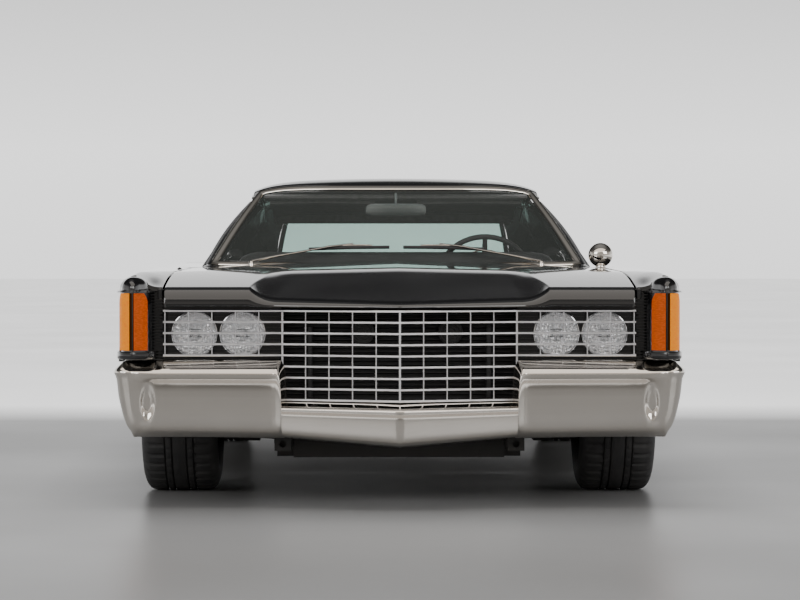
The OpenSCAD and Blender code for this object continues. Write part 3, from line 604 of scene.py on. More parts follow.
def sky(stops):
    r = wn.nodes.new("ShaderNodeValToRGB")
    e = r.color_ramp.elements
    e[0].position, e[0].color = stops[0][0], (*stops[0][1], 1)
    e[1].position, e[1].color = stops[-1][0], (*stops[-1][1], 1)
    for pos, c in stops[1:-1]:
        k = e.new(pos)
        k.color = (*c, 1)
    mr = wn.nodes.new("ShaderNodeMapRange")
    mr.inputs["From Min"].default_value = -1
    mr.inputs["From Max"].default_value = 1
    wn.links.new(sep.outputs["Z"], mr.inputs["Value"])
    wn.links.new(mr.outputs["Result"], r.inputs["Fac"])
    return r.outputs["Color"]


def gz(z):
    return 0.5 + z / 2


def gr3(v, w=0.0):
    return (v * (1 + w), v, v * (1 - w))


behind = sky([(0.0, gr3(0.6)), (gz(-0.01), gr3(1.55)), (gz(0.03), gr3(1.7)), (gz(0.08), gr3(1.15)), (gz(0.13), gr3(1.1)), (gz(0.26), gr3(1.0)), (gz(0.30), gr3(0.6)), (gz(0.345), gr3(0.035)), (gz(0.75), gr3(0.03)), (1.0, gr3(0.3))])
ahead = sky([(0.0, gr3(0.3)), (gz(-0.01), gr3(0.50, 0.07)), (gz(0.12), gr3(0.52, 0.07)), (gz(0.35), gr3(0.30, 0.05)), (gz(0.6), gr3(0.10)), (1.0, gr3(0.3))])
mxw = wn.nodes.new("ShaderNodeMix")
mxw.data_type = "RGBA"
my = wn.nodes.new("ShaderNodeMapRange")
my.interpolation_type = "SMOOTHSTEP"
my.inputs["From Min"].default_value = -0.5
my.inputs["From Max"].default_value = 0.6
wn.links.new(sep.outputs["Y"], my.inputs["Value"])
wn.links.new(my.outputs["Result"], mxw.inputs["Factor"])
wn.links.new(ahead, mxw.inputs[6])
wn.links.new(behind, mxw.inputs[7])
wn.links.new(mxw.outputs[2], bg.inputs["Color"])
bg.inputs["Strength"].default_value = 1.0


def area(name, loc, target, sx, sy, power, col=(1, 1, 1)):
    d = bpy.data.lights.new(name, "AREA")
    d.shape = "RECTANGLE"
    d.size, d.size_y = sx, sy
    d.energy = power
    d.color = col
    o = bpy.data.objects.new(name, d)
    scene.collection.objects.link(o)
    o.location = loc
    o.rotation_euler = (Vector(target) - Vector(loc)).to_track_quat("-Z", "Y").to_euler()
    return o


area("overhead", (0, 1.0, 6.5), (0, 0.5, 0), 4.0, 8.0, 520).visible_glossy = False
area("front_left", (-7.0, -9.5, 4.2), (0, -2.5, 0.4), 7.0, 3.6, 300)
area("front_right", (7.0, -9.5, 4.2), (0, -2.5, 0.4), 7.0, 3.6, 300)
soft = area("front_softbox", (0, -5.3, 3.4), (0, -5.3, 0), 6.5, 6.0, 165, (1.0, 0.92, 0.84))
soft.visible_diffuse = False
soft.visible_transmission = False

# ---------------------------------------------------------------- front fenders
def arch_f(d):
    d = abs(d)
    return 700.0 if d <= 170 else 180.0 if d >= 435 else 180 + 520 * math.sqrt(1 - ((d - 170) / 265) ** 2)


def arch_r(d):
    d = abs(d)
    return 610.0 if d <= 200 else 180.0 if d >= 420 else 180 + 430 * math.sqrt(1 - ((d - 200) / 220) ** 2)


def fender_grid(th):
    st = [(u, 515.0) for u in np.linspace(204, AF - 376, 34)]
    ph = np.linspace(math.acos(335 / 520), 0, 30)
    st += [(AF - 170 - 265 * math.sin(a), 180 + 520 * math.cos(a)) for a in ph]
    st += [(AF + d, 700.0) for d in np.linspace(-150, 150, 14)]
    st += [(AF + 170 + 265 * math.sin(a), 180 + 520 * math.cos(a)) for a in np.linspace(0, math.pi / 2, 44)]
    st += [(u, 180.0) for u in np.linspace(AF + 435 + 10, 1855, 36)]
    return np.array([section(u, zl, HOOD_X + 7, th) for u, zl in st])


fo, fi = fender_grid(0), fender_grid(14)
slab("left_front_fender", fo, fi, PAINT, "chassis", ("front_fenders",))
slab("right_front_fender", mirror(fo), mirror(fi), PAINT, "chassis", ("front_fenders",))

# ---------------------------------------------------------------- hood
xs = np.concatenate([[0, 6], np.linspace(14, 430, 32), np.linspace(440, 535, 22), np.linspace(541, HOOD_X, 34)])
xs = np.concatenate([-xs[:0:-1], xs])
ds = np.concatenate([[0, 4, 9, 15, 22, 30, 40, 52], np.linspace(68, 800, 60), np.linspace(820, 1660, 36)])


def hood_grid(th):
    """Hood columns; those beside the raised centre follow its edge as it draws in toward the cabin."""
    G = []
    for x in xs:
        f = float(hood_front(x))
        d = ds * (1850 - f) / ds[-1]
        d[:8] = ds[:8]
        a, q = abs(x), 68 * S((f + d - 150) / 600)
        g = a * (440 - q) / 440 if a <= 440 else a - q if a <= 535 else 535 - q + (a - 535) * (HOOD_X - 535 + q) / (HOOD_X - 535)
        g = g * np.sign(x)
        z = hood_skin(g, f + d - hood_front(g))
        k = np.clip(d / 42, 0, 1)
        G.append(np.stack([g, f + d + th * (1 - k), z - th * k], axis=1))
    return np.array(G)


slab("hood", hood_grid(0), hood_grid(18), PAINT, "hood", ("hood",))

# ---------------------------------------------------------------- front bumper
path_f = [(0, 0), (110, 30), (220, 64), (330, 98), (405, 121), (418, 124.5), (427, 127), (433, 128.5), (445, 131), (470, 134), (560, 139),
          (680, 145), (800, 150), (840, 151), (868, 151.5), (896, 151), (920, 148), (944, 141), (962, 137), (984, 141), (1004, 155), (1015, 184), (1020, 230), (1021, 300), (1019, 400), (1016, 540)]
prof_z = [0, 0.07, 0.2, 0.5, 0.76, 0.86, 0.97, 1]
prof_mid = [62, 24, 6, 0, 0, 4, 44, 60]
prof_end = [82, 64, 40, 18, 8, 0, 30, 54]


def resample(ys, per=6):
    return smooth_path(np.stack([np.array(prof_z), np.array(ys, float)], axis=1), per)


def bumper_rows(path, per, tops, lows, pm, pe, blend, sgn, th, soft=False, dent=None):
    sp = smooth_path(path, per)
    tn = np.gradient(sp, axis=0)
    tn /= np.linalg.norm(tn, axis=1, keepdims=True)
    nr = np.stack([-tn[:, 1], tn[:, 0]], axis=1) * sgn
    nr[0] = (0, sgn)
    if soft:
        w = np.exp(-0.5 * (np.arange(-30, 31) / 11.0) ** 2)
        w /= w.sum()
        pad = np.concatenate([np.repeat(nr[:1], 30, 0), nr, np.repeat(nr[-1:], 30, 0)])
        sm = np.stack([np.convolve(pad[:, 0], w, "valid"), np.convolve(pad[:, 1], w, "valid")], axis=1)
        sm /= np.linalg.norm(sm, axis=1, keepdims=True)
        f = S((np.abs(sp[:, 0]) - 700) / 120)[:, None]
        nr = nr * (1 - f) + sm * f
    m, e = resample(pm), resample(pe)
    rows = []
    for i, (p, n) in enumerate(zip(sp, nr)):
        k = blend(i / per)
        zt, zl = tops(p[0], k), lows(p[0], k)
        zz = mixf(m[:, 0], e[:, 0], k)
        dd = mixf(m[:, 1], e[:, 1], k) + th
        if dent:
            dd = dd + dent(p[0], mixf(zl, zt, zz))
        q = p[None, :] + dd[:, None] * n[None, :]
        rows.append(np.stack([q[:, 0], q[:, 1], mixf(zl, zt, zz)], axis=1))
    return np.array(rows)


def both_ways(R):
    return np.concatenate([mirror(R)[:0:-1], R])




def ftop(x, k):
    t = min(max((x - 420) / 24, 0), 1)
    return 372 + 149 * (1 - (1 - t) ** 2.4) ** (1 / 2.4)


def flute(x, z):
    """Oval hollow beside the bumper end."""
    return 11 * (1 - S((np.hypot((x - 896) / 28, (z - 370) / 68) - 0.5) / 0.5))


flow = lambda x, k: 215 + 28 * x / 430 if x < 430 else 243 + 3 * float(S((x - 430) / 300))
fblend = lambda i: float(S((i - 14) / 6))
bo = both_ways(bumper_rows(path_f, 6, ftop, flow, prof_mid, prof_end, fblend, 1, 0, True, flute))
bi = both_ways(bumper_rows(path_f, 6, ftop, flow, prof_mid, prof_end, fblend, 1, 7, True, flute))
slab("front_bumper", bo, bi, CHROME, "chassis", ("front_bumper",), r=0)

# ---------------------------------------------------------------- grille
GT, BP, UP = 696.0, 39.6, 83.7
grille_u = lambda x: 56 + 144 * abs(x) / 413 if abs(x) < 413 else 200.0
sec_h = [(-2.5, -3.7), (-5, -2), (-5, 2), (-2.5, 3.7), (5, 3.7), (7, 2), (7, -2), (5, -3.7)]
parts = []
for k in range(9):
    z = GT - k * BP
    x1 = 843 if k < 5 else 420
    pts = [(x, grille_u(x) + 3, z) for x in ([-x1] + ([-416, -410] if x1 > 420 else []) + [-6, 0, 6] + ([410, 416] if x1 > 420 else []) + [x1])]
    parts.append(bar(pts, [(a, b) for a, b in sec_h]))
for i in range(-10, 11):
    x = i * UP
    low = 8 if abs(x) < 420 else 4
    wd = 3.4 if abs(i) in (0, 5) else 2.3
    u = grille_u(x)
    pts = [(x, u + 7, GT - low * BP - 3), (x, u + 7, GT + 3)]
    parts.append(bar(pts, [(-wd, -4), (wd, -4), (wd, 2.5), (wd * 0.5, 4), (-wd * 0.5, 4), (-wd, 2.5)], up=(0, -1, 0)))
V, F = join(parts)
make("grille", V, F, SILVER, "chassis", ("grille",), angle=30)

# ---------------------------------------------------------------- fender ends and signal lamps
nose_plan = [(1006, 200), (1003, 168), (988, 126), (955, 98), (946, 94), (937, 98), (914, 116), (886, 142), (872, 172), (868, 200)]
nose_core = [(992, 200), (989, 172), (976, 136), (951, 114), (946, 111), (939, 113), (922, 129), (898, 151), (887, 176), (882, 200)]


def plan_loop(pts, back=208):
    return np.vstack([smooth_path(pts, 6), [[pts[-1][0], back]], [[pts[0][0], back]]])


def nose_ring(loop, inset, z):
    v = np.array([938.0, 172.0]) - loop
    l = np.linalg.norm(v, axis=1, keepdims=True)
    q = loop + v / l * np.minimum(inset, l * 0.97)
    zz = z(q[:, 1]) if callable(z) else np.full(len(q), float(z))
    return np.column_stack([q, zz])


def cap_ring(u):
    """Rounded section of the fender's tip at station u."""
    o = float(np.interp(u, [94, 98, 126, 168, 200], [946, 955, 988, 1003, 1006]))
    i = float(np.interp(u, [94, 98, 116, 142, 172, 200], [946, 937, 914, 886, 872, 868]))
    w = min(max((u - 100) / 40, 0), 1)
    lo, hi = i + 24 * w, o - 8 * w
    top = 770 + (float(crest(u)) - 773) * (1 - (1 - min(max((u - 93) / 62, 0), 1)) ** 2.4) ** 0.5
    arc = [((lo + hi) / 2 - (hi - lo) / 2 * math.cos(t), u, 770 + (top - 770) * math.sin(t) ** 0.9) for t in np.linspace(0, math.pi, 33)]
    return [(i, u, 762), (i, u, 768)] + arc + [(o, u, 768), (o, u, 762)]


lp, lc = plan_loop(nose_plan), plan_loop(nose_core)
cap = loft([cap_ring(u) for u in (94.3, 95.5, 98, 102, 108, 116, 126, 138, 152, 168, 184, 198, 212)])
core = loft([nose_ring(lc, 0, 548), nose_ring(lc, 0, 660), nose_ring(lc, 0, 770)])
foot = loft([nose_ring(lp, 60, 524), nose_ring(lp, 10, 524), nose_ring(lp, 3, 526), nose_ring(lp, 0, 531), nose_ring(lp, 0, 550), nose_ring(lp, 2, 553), nose_ring(lp, 30, 553)])


def strip(pts, first, z0=557, z1=760, th=5.0):
    """Lens strip round the fender end; its outer or inner edge draws in toward the top."""
    sp = smooth_path(pts, 8)
    s0 = np.linspace(0, 1, len(sp))
    O, I = [], []
    for z in np.concatenate([[z0, z0 + 4], np.linspace(z0 + 10, z1 - 40, 12), np.linspace(z1 - 34, z1 - 8, 6), [z1 - 4, z1]]):
        c = 0.26 * min(max((z - z1 + 36) / 36, 0), 1) ** 2
        sq = c + (1 - c) * s0 if first else (1 - c) * s0
        q = np.column_stack([np.interp(sq, s0, sp[:, 0]), np.interp(sq, s0, sp[:, 1])])
        v = np.array([938.0, 190.0]) - q
        v /= np.linalg.norm(v, axis=1, keepdims=True)
        O.append(np.column_stack([q, np.full(len(q), z)]))
        I.append(np.column_stack([q + th * v, np.full(len(q), z)]))
    return np.array(O).transpose(1, 0, 2), np.array(I).transpose(1, 0, 2)


lens_o = strip([(995, 150), (983, 126), (957, 101)], True)
lens_i = strip([(939, 99), (916, 117), (893, 141)], False)
for sd, fn in (("left", lambda q: q), ("right", mirror)):
    make(sd + "_fender_cap", fn(cap[0]), cap[1], PAINT, "chassis", ("lamp_housings",), angle=50)
    make(sd + "_signal_housing", fn(core[0]), core[1], BLACK, "chassis", ("lamp_housings",), angle=40)
    make(sd + "_signal_foot", fn(foot[0]), foot[1], BLACK, "chassis", ("lamp_housings",), angle=50)
    slab(sd + "_outer_signal_lens", fn(lens_o[0]), fn(lens_o[1]), AMBER, "chassis", ("front_signal_lamps",), r=1.5)
    slab(sd + "_inner_signal_lens", fn(lens_i[0]), fn(lens_i[1]), AMBER_DEEP, "chassis", ("front_signal_lamps",), r=1.5)

# ---------------------------------------------------------------- headlamps and the dark panels round them
def box_geo(x0, x1, u0, u1, z0, z1, b=2.0):
    """Box with chamfered edges."""
    rings = []
    for z, i in ((z0, b), (z0 + b, 0), (z1 - b, 0), (z1, b)):
        rings.append([(x0 + i, u0 + i + b, z), (x0 + i + b, u0 + i, z), (x1 - i - b, u0 + i, z), (x1 - i, u0 + i + b, z),
                      (x1 - i, u1 - i - b, z), (x1 - i - b, u1 - i, z), (x0 + i + b, u1 - i, z), (x0 + i, u1 - i - b, z)])
    return loft(rings)


refl_mat, nt_, p_ = new_mat("lamp_reflector")
v_ = coords(nt_)
w_ = nt_.nodes.new("ShaderNodeTexVoronoi")
w_.inputs["Scale"].default_value = 75
nt_.links.new(v_, w_.inputs["Vector"])
nt_.links.new(ramp(nt_, w_.outputs["Distance"], (0.95, 0.95, 0.96), (0.75, 0.76, 0.78), 0.1, 0.7), p_.inputs["Base Color"])
p_.inputs["Metallic"].default_value = 0.65
p_.inputs["Roughness"].default_value = 0.17
nt_.links.new(bump(nt_, w_.outputs["Distance"], 0.9, 0.006), p_.inputs["Normal"])
REFLECT = refl_mat

r_ = np.linspace(0.6, 78.5, 22)
dome = [(float(r), -27 * (1 - (r / 79) ** 2.0)) for r in r_] + [(78.5, 3.0)] + [(float(r), 3 - 26 * (1 - (r / 79) ** 2.0)) for r in r_[::-1]]
bowl = [(float(r), 16 * (1 - (r / 77) ** 2)) for r in np.linspace(77, 1, 16)] + [(float(r), 16 * (1 - (r / 77) ** 2) + 2) for r in np.linspace(1, 77, 16)]
ring_p = [(78, 2), (78.5, -2), (80, -4), (82, -3.5), (83.5, 0), (84, 6), (84, 14), (78, 14)]
bulb = [(0.5, -9), (7, -8), (12, -4), (14, 2), (14, 12), (0.5, 12)]
fl = []
for k in range(18):
    x = -72 + k * 8.47
    h = math.sqrt(max(0, 76 ** 2 - x * x))
    zz = np.linspace(-h, h, 9)
    fl.append(tube([(x, -27 * (1 - (x * x + q * q) / 79 ** 2) - 0.2, q) for q in zz], 1.6, 6, up=(0, 1, 0)))
flutes = join(fl)
for sd, sx in (("left", 1), ("right", -1)):
    for nm, x in (("inner", 562), ("outer", 734)):
        c = (sx * x, 248, 613)
        for part, prof, mt, sl in (("lens", dome, LENS, "clear_lens"), ("reflector", bowl, REFLECT, "chrome"), ("bezel", ring_p, BRIGHT, "chrome"), ("bulb_cap", bulb, BRIGHT, "chrome")):
            V, F = revolve(prof, c, "y", 64, True)
            make(f"{sd}_{nm}_headlamp_{part}", V, F, mt, "chassis", ("headlamps",), angle=40)
        make(f"{sd}_{nm}_headlamp_flutes", flutes[0] + np.array(c), flutes[1], LENS, "chassis", ("headlamps",))
    parts = [box_geo(sx * 642 - 218, sx * 642 + 218, 266, 274, 512, 724)]
    for z in np.arange(522, 716, 13.0):
        parts.append(box_geo(sx * 642 - 216, sx * 642 + 216, 262, 267, z, z + 5, 1))
    for z in np.arange(520, 762, 11.0):
        parts.append(box_geo(sx * 866 - 20, sx * 866 + 20, 214, 264, z, z + 5, 1))
    parts.append(box_geo(sx * 866 - 22, sx * 866 + 22, 262, 270, 512, 772))
    parts.append(box_geo(sx * 853 - 9, sx * 853 + 9, 196, 240, 738, 776, 3))
    V, F = join(parts)
    make(sd + "_lamp_panel", V, F, BLACK, "chassis", ("lamp_housings",), angle=30)

# ---------------------------------------------------------------- behind the grille
parts = [box_geo(-424, 424, 352, 358, 300, 716)]
for z in np.arange(392, 712, 15.0):
    parts.append(bar([(-420, 338, z), (420, 338, z)], [(-9, -2.5), (9, 2.5), (9, 4.5), (-9, -0.5)]))
for x in (-322, 322):
    parts.append(box_geo(x - 9, x + 9, 300, 318, 380, 640, 3))
V, F = join(parts)
make("radiator_screen", V, F, SATIN, "chassis", (), angle=30)
horn = [(3, -22), (11, -21), (13, -15), (20, -15), (22, -20), (26, -20), (28, -12), (35, -12), (37, -17), (42, -15), (45, -6), (45, 4), (40, 12), (3, 12)]
for nm, x in (("right_horn", -133), ("left_horn", 184)):
    V, F = revolve(horn, (x, 322, 617), "y", 48, True)
    make(nm, V, F, UNDER, "chassis", (), angle=30)

# ---------------------------------------------------------------- windshield, roof, pillars
def shield(s, t, th=0.0):
    xb, xt = s * 758, s * 578
    b = np.array([base_u(xb) + 8, base_z(xb) - 6])
    h = np.array([head_u(xt) - 4, roof_h(xt, head_u(xt)) - 14])
    q = mixf(b, h, t) + np.array([-0.55, 0.83]) * (12 * math.sin(math.pi * t) - th)
    return (s * mixf(758, 578, t), q[0], q[1])


def shield_grid(th):
    return np.array([[shield(s, t, th) for t in np.linspace(0, 1, 20)] for s in np.linspace(-1, 1, 56)])


slab("windshield_glass", shield_grid(0), shield_grid(5), GLASS, "chassis", ("windshield",), r=0)
per = [shield(s, 0.0, -4) for s in np.linspace(-1, 1, 50)] + [shield(1, t, -4) for t in np.linspace(0.04, 0.96, 24)] \
    + [shield(s, 1.0, -4) for s in np.linspace(1, -1, 44)] + [shield(-1, t, -4) for t in np.linspace(0.96, 0.04, 24)]
V, F = tube(per, 15, 10, up=(0, -0.55, 0.83), flat=0.42, closed=True)
make("windshield_trim", V, F, mat_chrome("warm_trim", (0.74, 0.69, 0.62), 0.06, 0.12), "chassis", (), angle=60)

xr = np.concatenate([np.linspace(-612, -540, 14), np.linspace(-520, 520, 30), np.linspace(540, 612, 14)])


def roof_grid(th):
    G = []
    for x in xr:
        u = np.linspace(float(head_u(x)) + 4, 3962, 40)
        G.append(np.stack([np.full_like(u, x), u, roof_h(x, u) - (th * 0.75 if abs(x) > 600 else th)], axis=1))
    return np.array(G)


slab("roof_panel", roof_grid(0), roof_grid(30), PAINT, "chassis", ("roof",), r=5)


def liner_grid(d):
    G = []
    for x in np.linspace(-566, 566, 24):
        u = np.linspace(float(head_u(x)) + 34, 3950, 24)
        G.append(np.stack([np.full_like(u, x), u, roof_h(x, u) - d], axis=1))
    return np.array(G)


slab("headliner", liner_grid(33), liner_grid(37), HEADLINER, "chassis", (), r=0)
V, F = join([box_geo(-560, 560, 3900, 3958, 1036, 1088, 12), box_geo(-565, 565, 2470, 2530, 1126, 1150, 8)])
make("header_garnish", V, F, HEADLINER, "chassis", (), angle=40)


def pillar(a, b, n=16, m=6):
    G = []
    for t in np.linspace(0, 1, n):
        s = 10 * math.sin(math.pi * t)
        row = []
        for k in np.linspace(0, 1, m):
            e = mixf(np.array(a, float), np.array(b, float), k)
            row.append((mixf(792, 622, t) + s + e[0], mixf(2098, 2534, t) + e[1], mixf(848, 1116, t) + s + e[2]))
        G.append(row)
    return np.array(G)


po, pi2 = pillar((-26, -12, 4), (0, 34, 0)), pillar((-50, -4, -24), (-34, 36, -34))
for sd, fn in (("left", lambda q: q), ("right", mirror)):
    slab(sd + "_windshield_pillar", fn(po), fn(pi2), PAINT, "chassis", ("roof",), r=2.5)
    V, F = tube(fn(np.array([po[i, -1] + (2, 2, 2) for i in range(16)])), 6, 8, flat=0.6)
    make(sd + "_pillar_trim", V, F, BRIGHT, "chassis", (), angle=60)
    dr = [(614, u, float(roof_h(612, u)) - 20) for u in np.linspace(2545, 3955, 50)]
    V, F = tube(fn(np.array(dr)), 6, 8)
    make(sd + "_drip_moulding", V, F, BRIGHT, "chassis", (), angle=60)

# ---------------------------------------------------------------- sail panels, rear window, quarter windows
def sail(s, t, k=0.0):
    if s < 0.8:
        u = mixf(3400, 4548, s / 0.8)
        b = np.array([mixf(806, 742, (s / 0.8) ** 2), u, float(crest(u)) - 3 - 22 * float(S((u - 4480) / 500))])
        v = mixf(3325, 3966, s / 0.8)
        h = np.array([615, v, float(roof_h(612, v)) - 12])
    else:
        q = (s - 0.8) / 0.2
        b = np.array([mixf(742, 578, q), mixf(4548, 4574, q), mixf(float(crest(4548)) - 4, 850, q)])
        h = np.array([mixf(615, 512, q), mixf(3966, 3972, q), mixf(float(roof_h(612, 3962)) - 12, float(roof_h(512, 3962)) - 10, q)])
    p = mixf(b, h, t) + 14 * math.sin(math.pi * t) * np.array([0.8, 0.3 * float(S((s - 0.6) / 0.3)), 0.4])
    f = float(S((s - 0.66) / 0.16))
    return p + k * np.array([mixf(-12, -3, f), mixf(0, -12, f), -5 * float(S(t * 3))])


ss = np.concatenate([np.linspace(0, 0.7, 30), np.linspace(0.72, 0.88, 16), np.linspace(0.9, 1, 6)])
so = np.array([[sail(s, t) for t in np.linspace(0, 1, 22)] for s in ss])
si2 = np.array([[sail(s, t, 1) for t in np.linspace(0, 1, 22)] for s in ss])
for sd, fn in (("left", lambda q: q), ("right", mirror)):
    slab(sd + "_sail_panel", fn(so), fn(si2), PAINT, "chassis", ("sail_panels",), r=2.5)


def back(s, t, k=0.0):
    b = np.array([570 * s, 4582 - 14 * s * s, 850.0])
    h = np.array([504 * s, 3978, float(roof_h(512 * s, 3962)) - 10])
    return mixf(b, h, t) + 10 * math.sin(math.pi * t) * np.array([0, 0.4, 0.9]) - k * np.array([0, 2.4, 5.4])


bo2 = np.array([[back(s, t) for t in np.linspace(0, 1, 18)] for s in np.linspace(-1, 1, 30)])
bi2 = np.array([[back(s, t, 0.9) for t in np.linspace(0, 1, 18)] for s in np.linspace(-1, 1, 30)])
slab("rear_window_glass", bo2, bi2, TINT, "chassis", ("rear_window",), r=0)
per = [back(s, 0, -0.6) for s in np.linspace(-1, 1, 30)] + [back(1, t, -0.6) for t in np.linspace(0.04, 0.96, 24)] \
    + [back(s, 1, -0.6) for s in np.linspace(1, -1, 30)] + [back(-1, t, -0.6) for t in np.linspace(0.96, 0.04, 24)]
V, F = tube(per, 12, 8, up=(0, 0.4, 0.9), flat=0.45, closed=True)
make("rear_window_trim", V, F, BRIGHT, "chassis", (), angle=60)


def pane(u0, u1, u2, u3, zt, th, n=14, m=24):
    G = []
    for t in np.linspace(0, 1, n):
        row = []
        for i in np.linspace(0, 1, m):
            zb = float(crest(mixf(u0, u1, i))) - 1
            z = mixf(zb, zt, t)
            row.append((float(glass_x(z)) + 8 * math.sin(math.pi * t) - th, mixf(mixf(u0, u2, t), mixf(u1, u3, t), i), z - th * 0.5 * t))
        G.append(row)
    return np.array(G)


for sd, fn in (("left", lambda q: q), ("right", mirror)):
    q0, q1 = pane(2152, 3184, 2606, 3164, 1120, 0), pane(2152, 3184, 2606, 3164, 1120, 5)
    slab(sd + "_side_glass", fn(q0), fn(q1), SIDE, sd + "_door", (sd + "_door_glass",), r=0)
    edge = np.concatenate([q0[:, 0], q0[-1, 1:], q0[::-1, -1][1:]])
    V, F = tube(fn(edge - np.array([2.5, 0, 1])), 4, 6)
    make(sd + "_side_glass_edge", V, F, BRIGHT, sd + "_door", (), angle=60)
    q0, q1 = pane(3194, 3390, 3174, 3314, 1120, 0, 12, 10), pane(3194, 3390, 3174, 3314, 1120, 5, 12, 10)
    slab(sd + "_quarter_glass", fn(q0), fn(q1), SIDE, "chassis", ("quarter_windows",), r=0)
    edge = np.concatenate([q0[:, 0], q0[-1, 1:], q0[::-1, -1][1:]])
    V, F = tube(fn(edge - np.array([2.5, 0, 1])), 4, 6)
    make(sd + "_quarter_glass_edge", V, F, BRIGHT, "chassis", (), angle=60)

# ---------------------------------------------------------------- cowl and wipers
def door_xi(u):
    return mixf(858, 790, float(S((u - 1863) / 270)))


def cowl_grid(th):
    G = []
    for x in np.linspace(-782, 782, 50):
        b = min(float(base_u(x)) + 6, 2074)
        G.append([(x + np.sign(x) * (door_xi(mixf(1858, b, t)) - 792) * (x / 782) ** 4, mixf(1858, b, t), mixf(806 + float(hood_rise(x)) * 0.4, float(base_z(x)) - 10, t) - th) for t in np.linspace(0, 1, 12)])
    return np.array(G)


slab("cowl_panel", cowl_grid(0), cowl_grid(14), PAINT, "chassis", ("cowl",), r=2.5)
V, F = box_geo(-780, 780, 1905, 1925, 300, 790, 3)
make("firewall", V, F, UNDER, "chassis", ("cowl",), angle=30)
hp = []
for sx in (1, -1):
    for a, b in ((576, 583), (617, 624)):
        hp.append(box_geo(min(sx * a, sx * b), max(sx * a, sx * b), 1875, 1906, 764, 776, 1.5))
    hp.append(tube([(sx * 574, 1880, 770), (sx * 600, 1880, 770), (sx * 626, 1880, 770)], 4, 16))
V, F = join(hp)
make("hood_hinge_brackets", V, F, UNDER, "chassis", ("cowl",), angle=30)
gr = []
for i in range(-11, 12):
    x = i * 42.0
    for u in (1884, 1902):
        t = (u - 1858) / (min(float(base_u(x)) + 6, 2074) - 1858)
        z = mixf(806 + float(hood_rise(x)) * 0.4, float(base_z(x)) - 10, t)
        gr.append(box_geo(x - 16, x + 16, u - 3, u + 3, z - 2, z + 1.5, 0.8))
V, F = join(gr)
make("cowl_vent_slots", V, F, SATIN, "chassis", (), angle=30)
wp, wb = [], []
for sx in (-1, 1):
    x0 = 600 * sx
    pv = np.array([x0, float(base_u(x0)) - 34, float(base_z(x0)) + 4])
    V, F = revolve([(0.5, 8), (7, 7), (11, 2), (12, -17), (0.5, -17)], pv, "z", 24)
    wp.append((V, F))
    arm = smooth_path([pv + (0, 0, 5), shield(0.68 * sx, 0.055, -19), shield(0.53 * sx, 0.115, -20), shield(0.38 * sx, 0.18, -19), shield(0.25 * sx, 0.225, -15)], 8)
    wp.append(tube(arm, np.linspace(8, 5, len(arm)), 10, flat=0.7))
    wp.append(tube([shield((0.40 - 0.26 * k) * sx, 0.196 + 0.016 * k, -13 - 3 * math.sin(math.pi * k)) for k in np.linspace(0, 1, 14)], 3.4, 8))
    wb.append(tube([shield((0.50 - 0.46 * k) * sx, 0.176 + 0.03 * k, -6.5 - 3 * math.sin(math.pi * k)) for k in np.linspace(0, 1, 26)], 4.6, 8, flat=1.5))
V, F = join(wb)
make("wiper_blades", V, F, RUBBER, "chassis", ("wipers",), angle=45)
V, F = join(wp)
make("wiper_arms", V, F, CHROME, "chassis", ("wipers",), angle=45)

# ---------------------------------------------------------------- doors
def door_inner(u, d=34):
    zs = float(crest(u)) - 40
    o = section(u, 232, door_xi(u), 0)
    pts = []
    for k, (x, uu, z) in enumerate(o):
        if k < 23:
            pts.append((872, min(z, zs - 34)))
        elif k < 31:
            pts.append((872 - (k - 22) * 0.5, zs - 33 + 1.6 * (k - 22)))
        else:
            pts.append((mixf(868, door_xi(u), (k - 30) / 10), zs - 18 + 0.8 * (k - 30)))
    return [(x, min(u, 3238 - d), z) for x, z in pts]


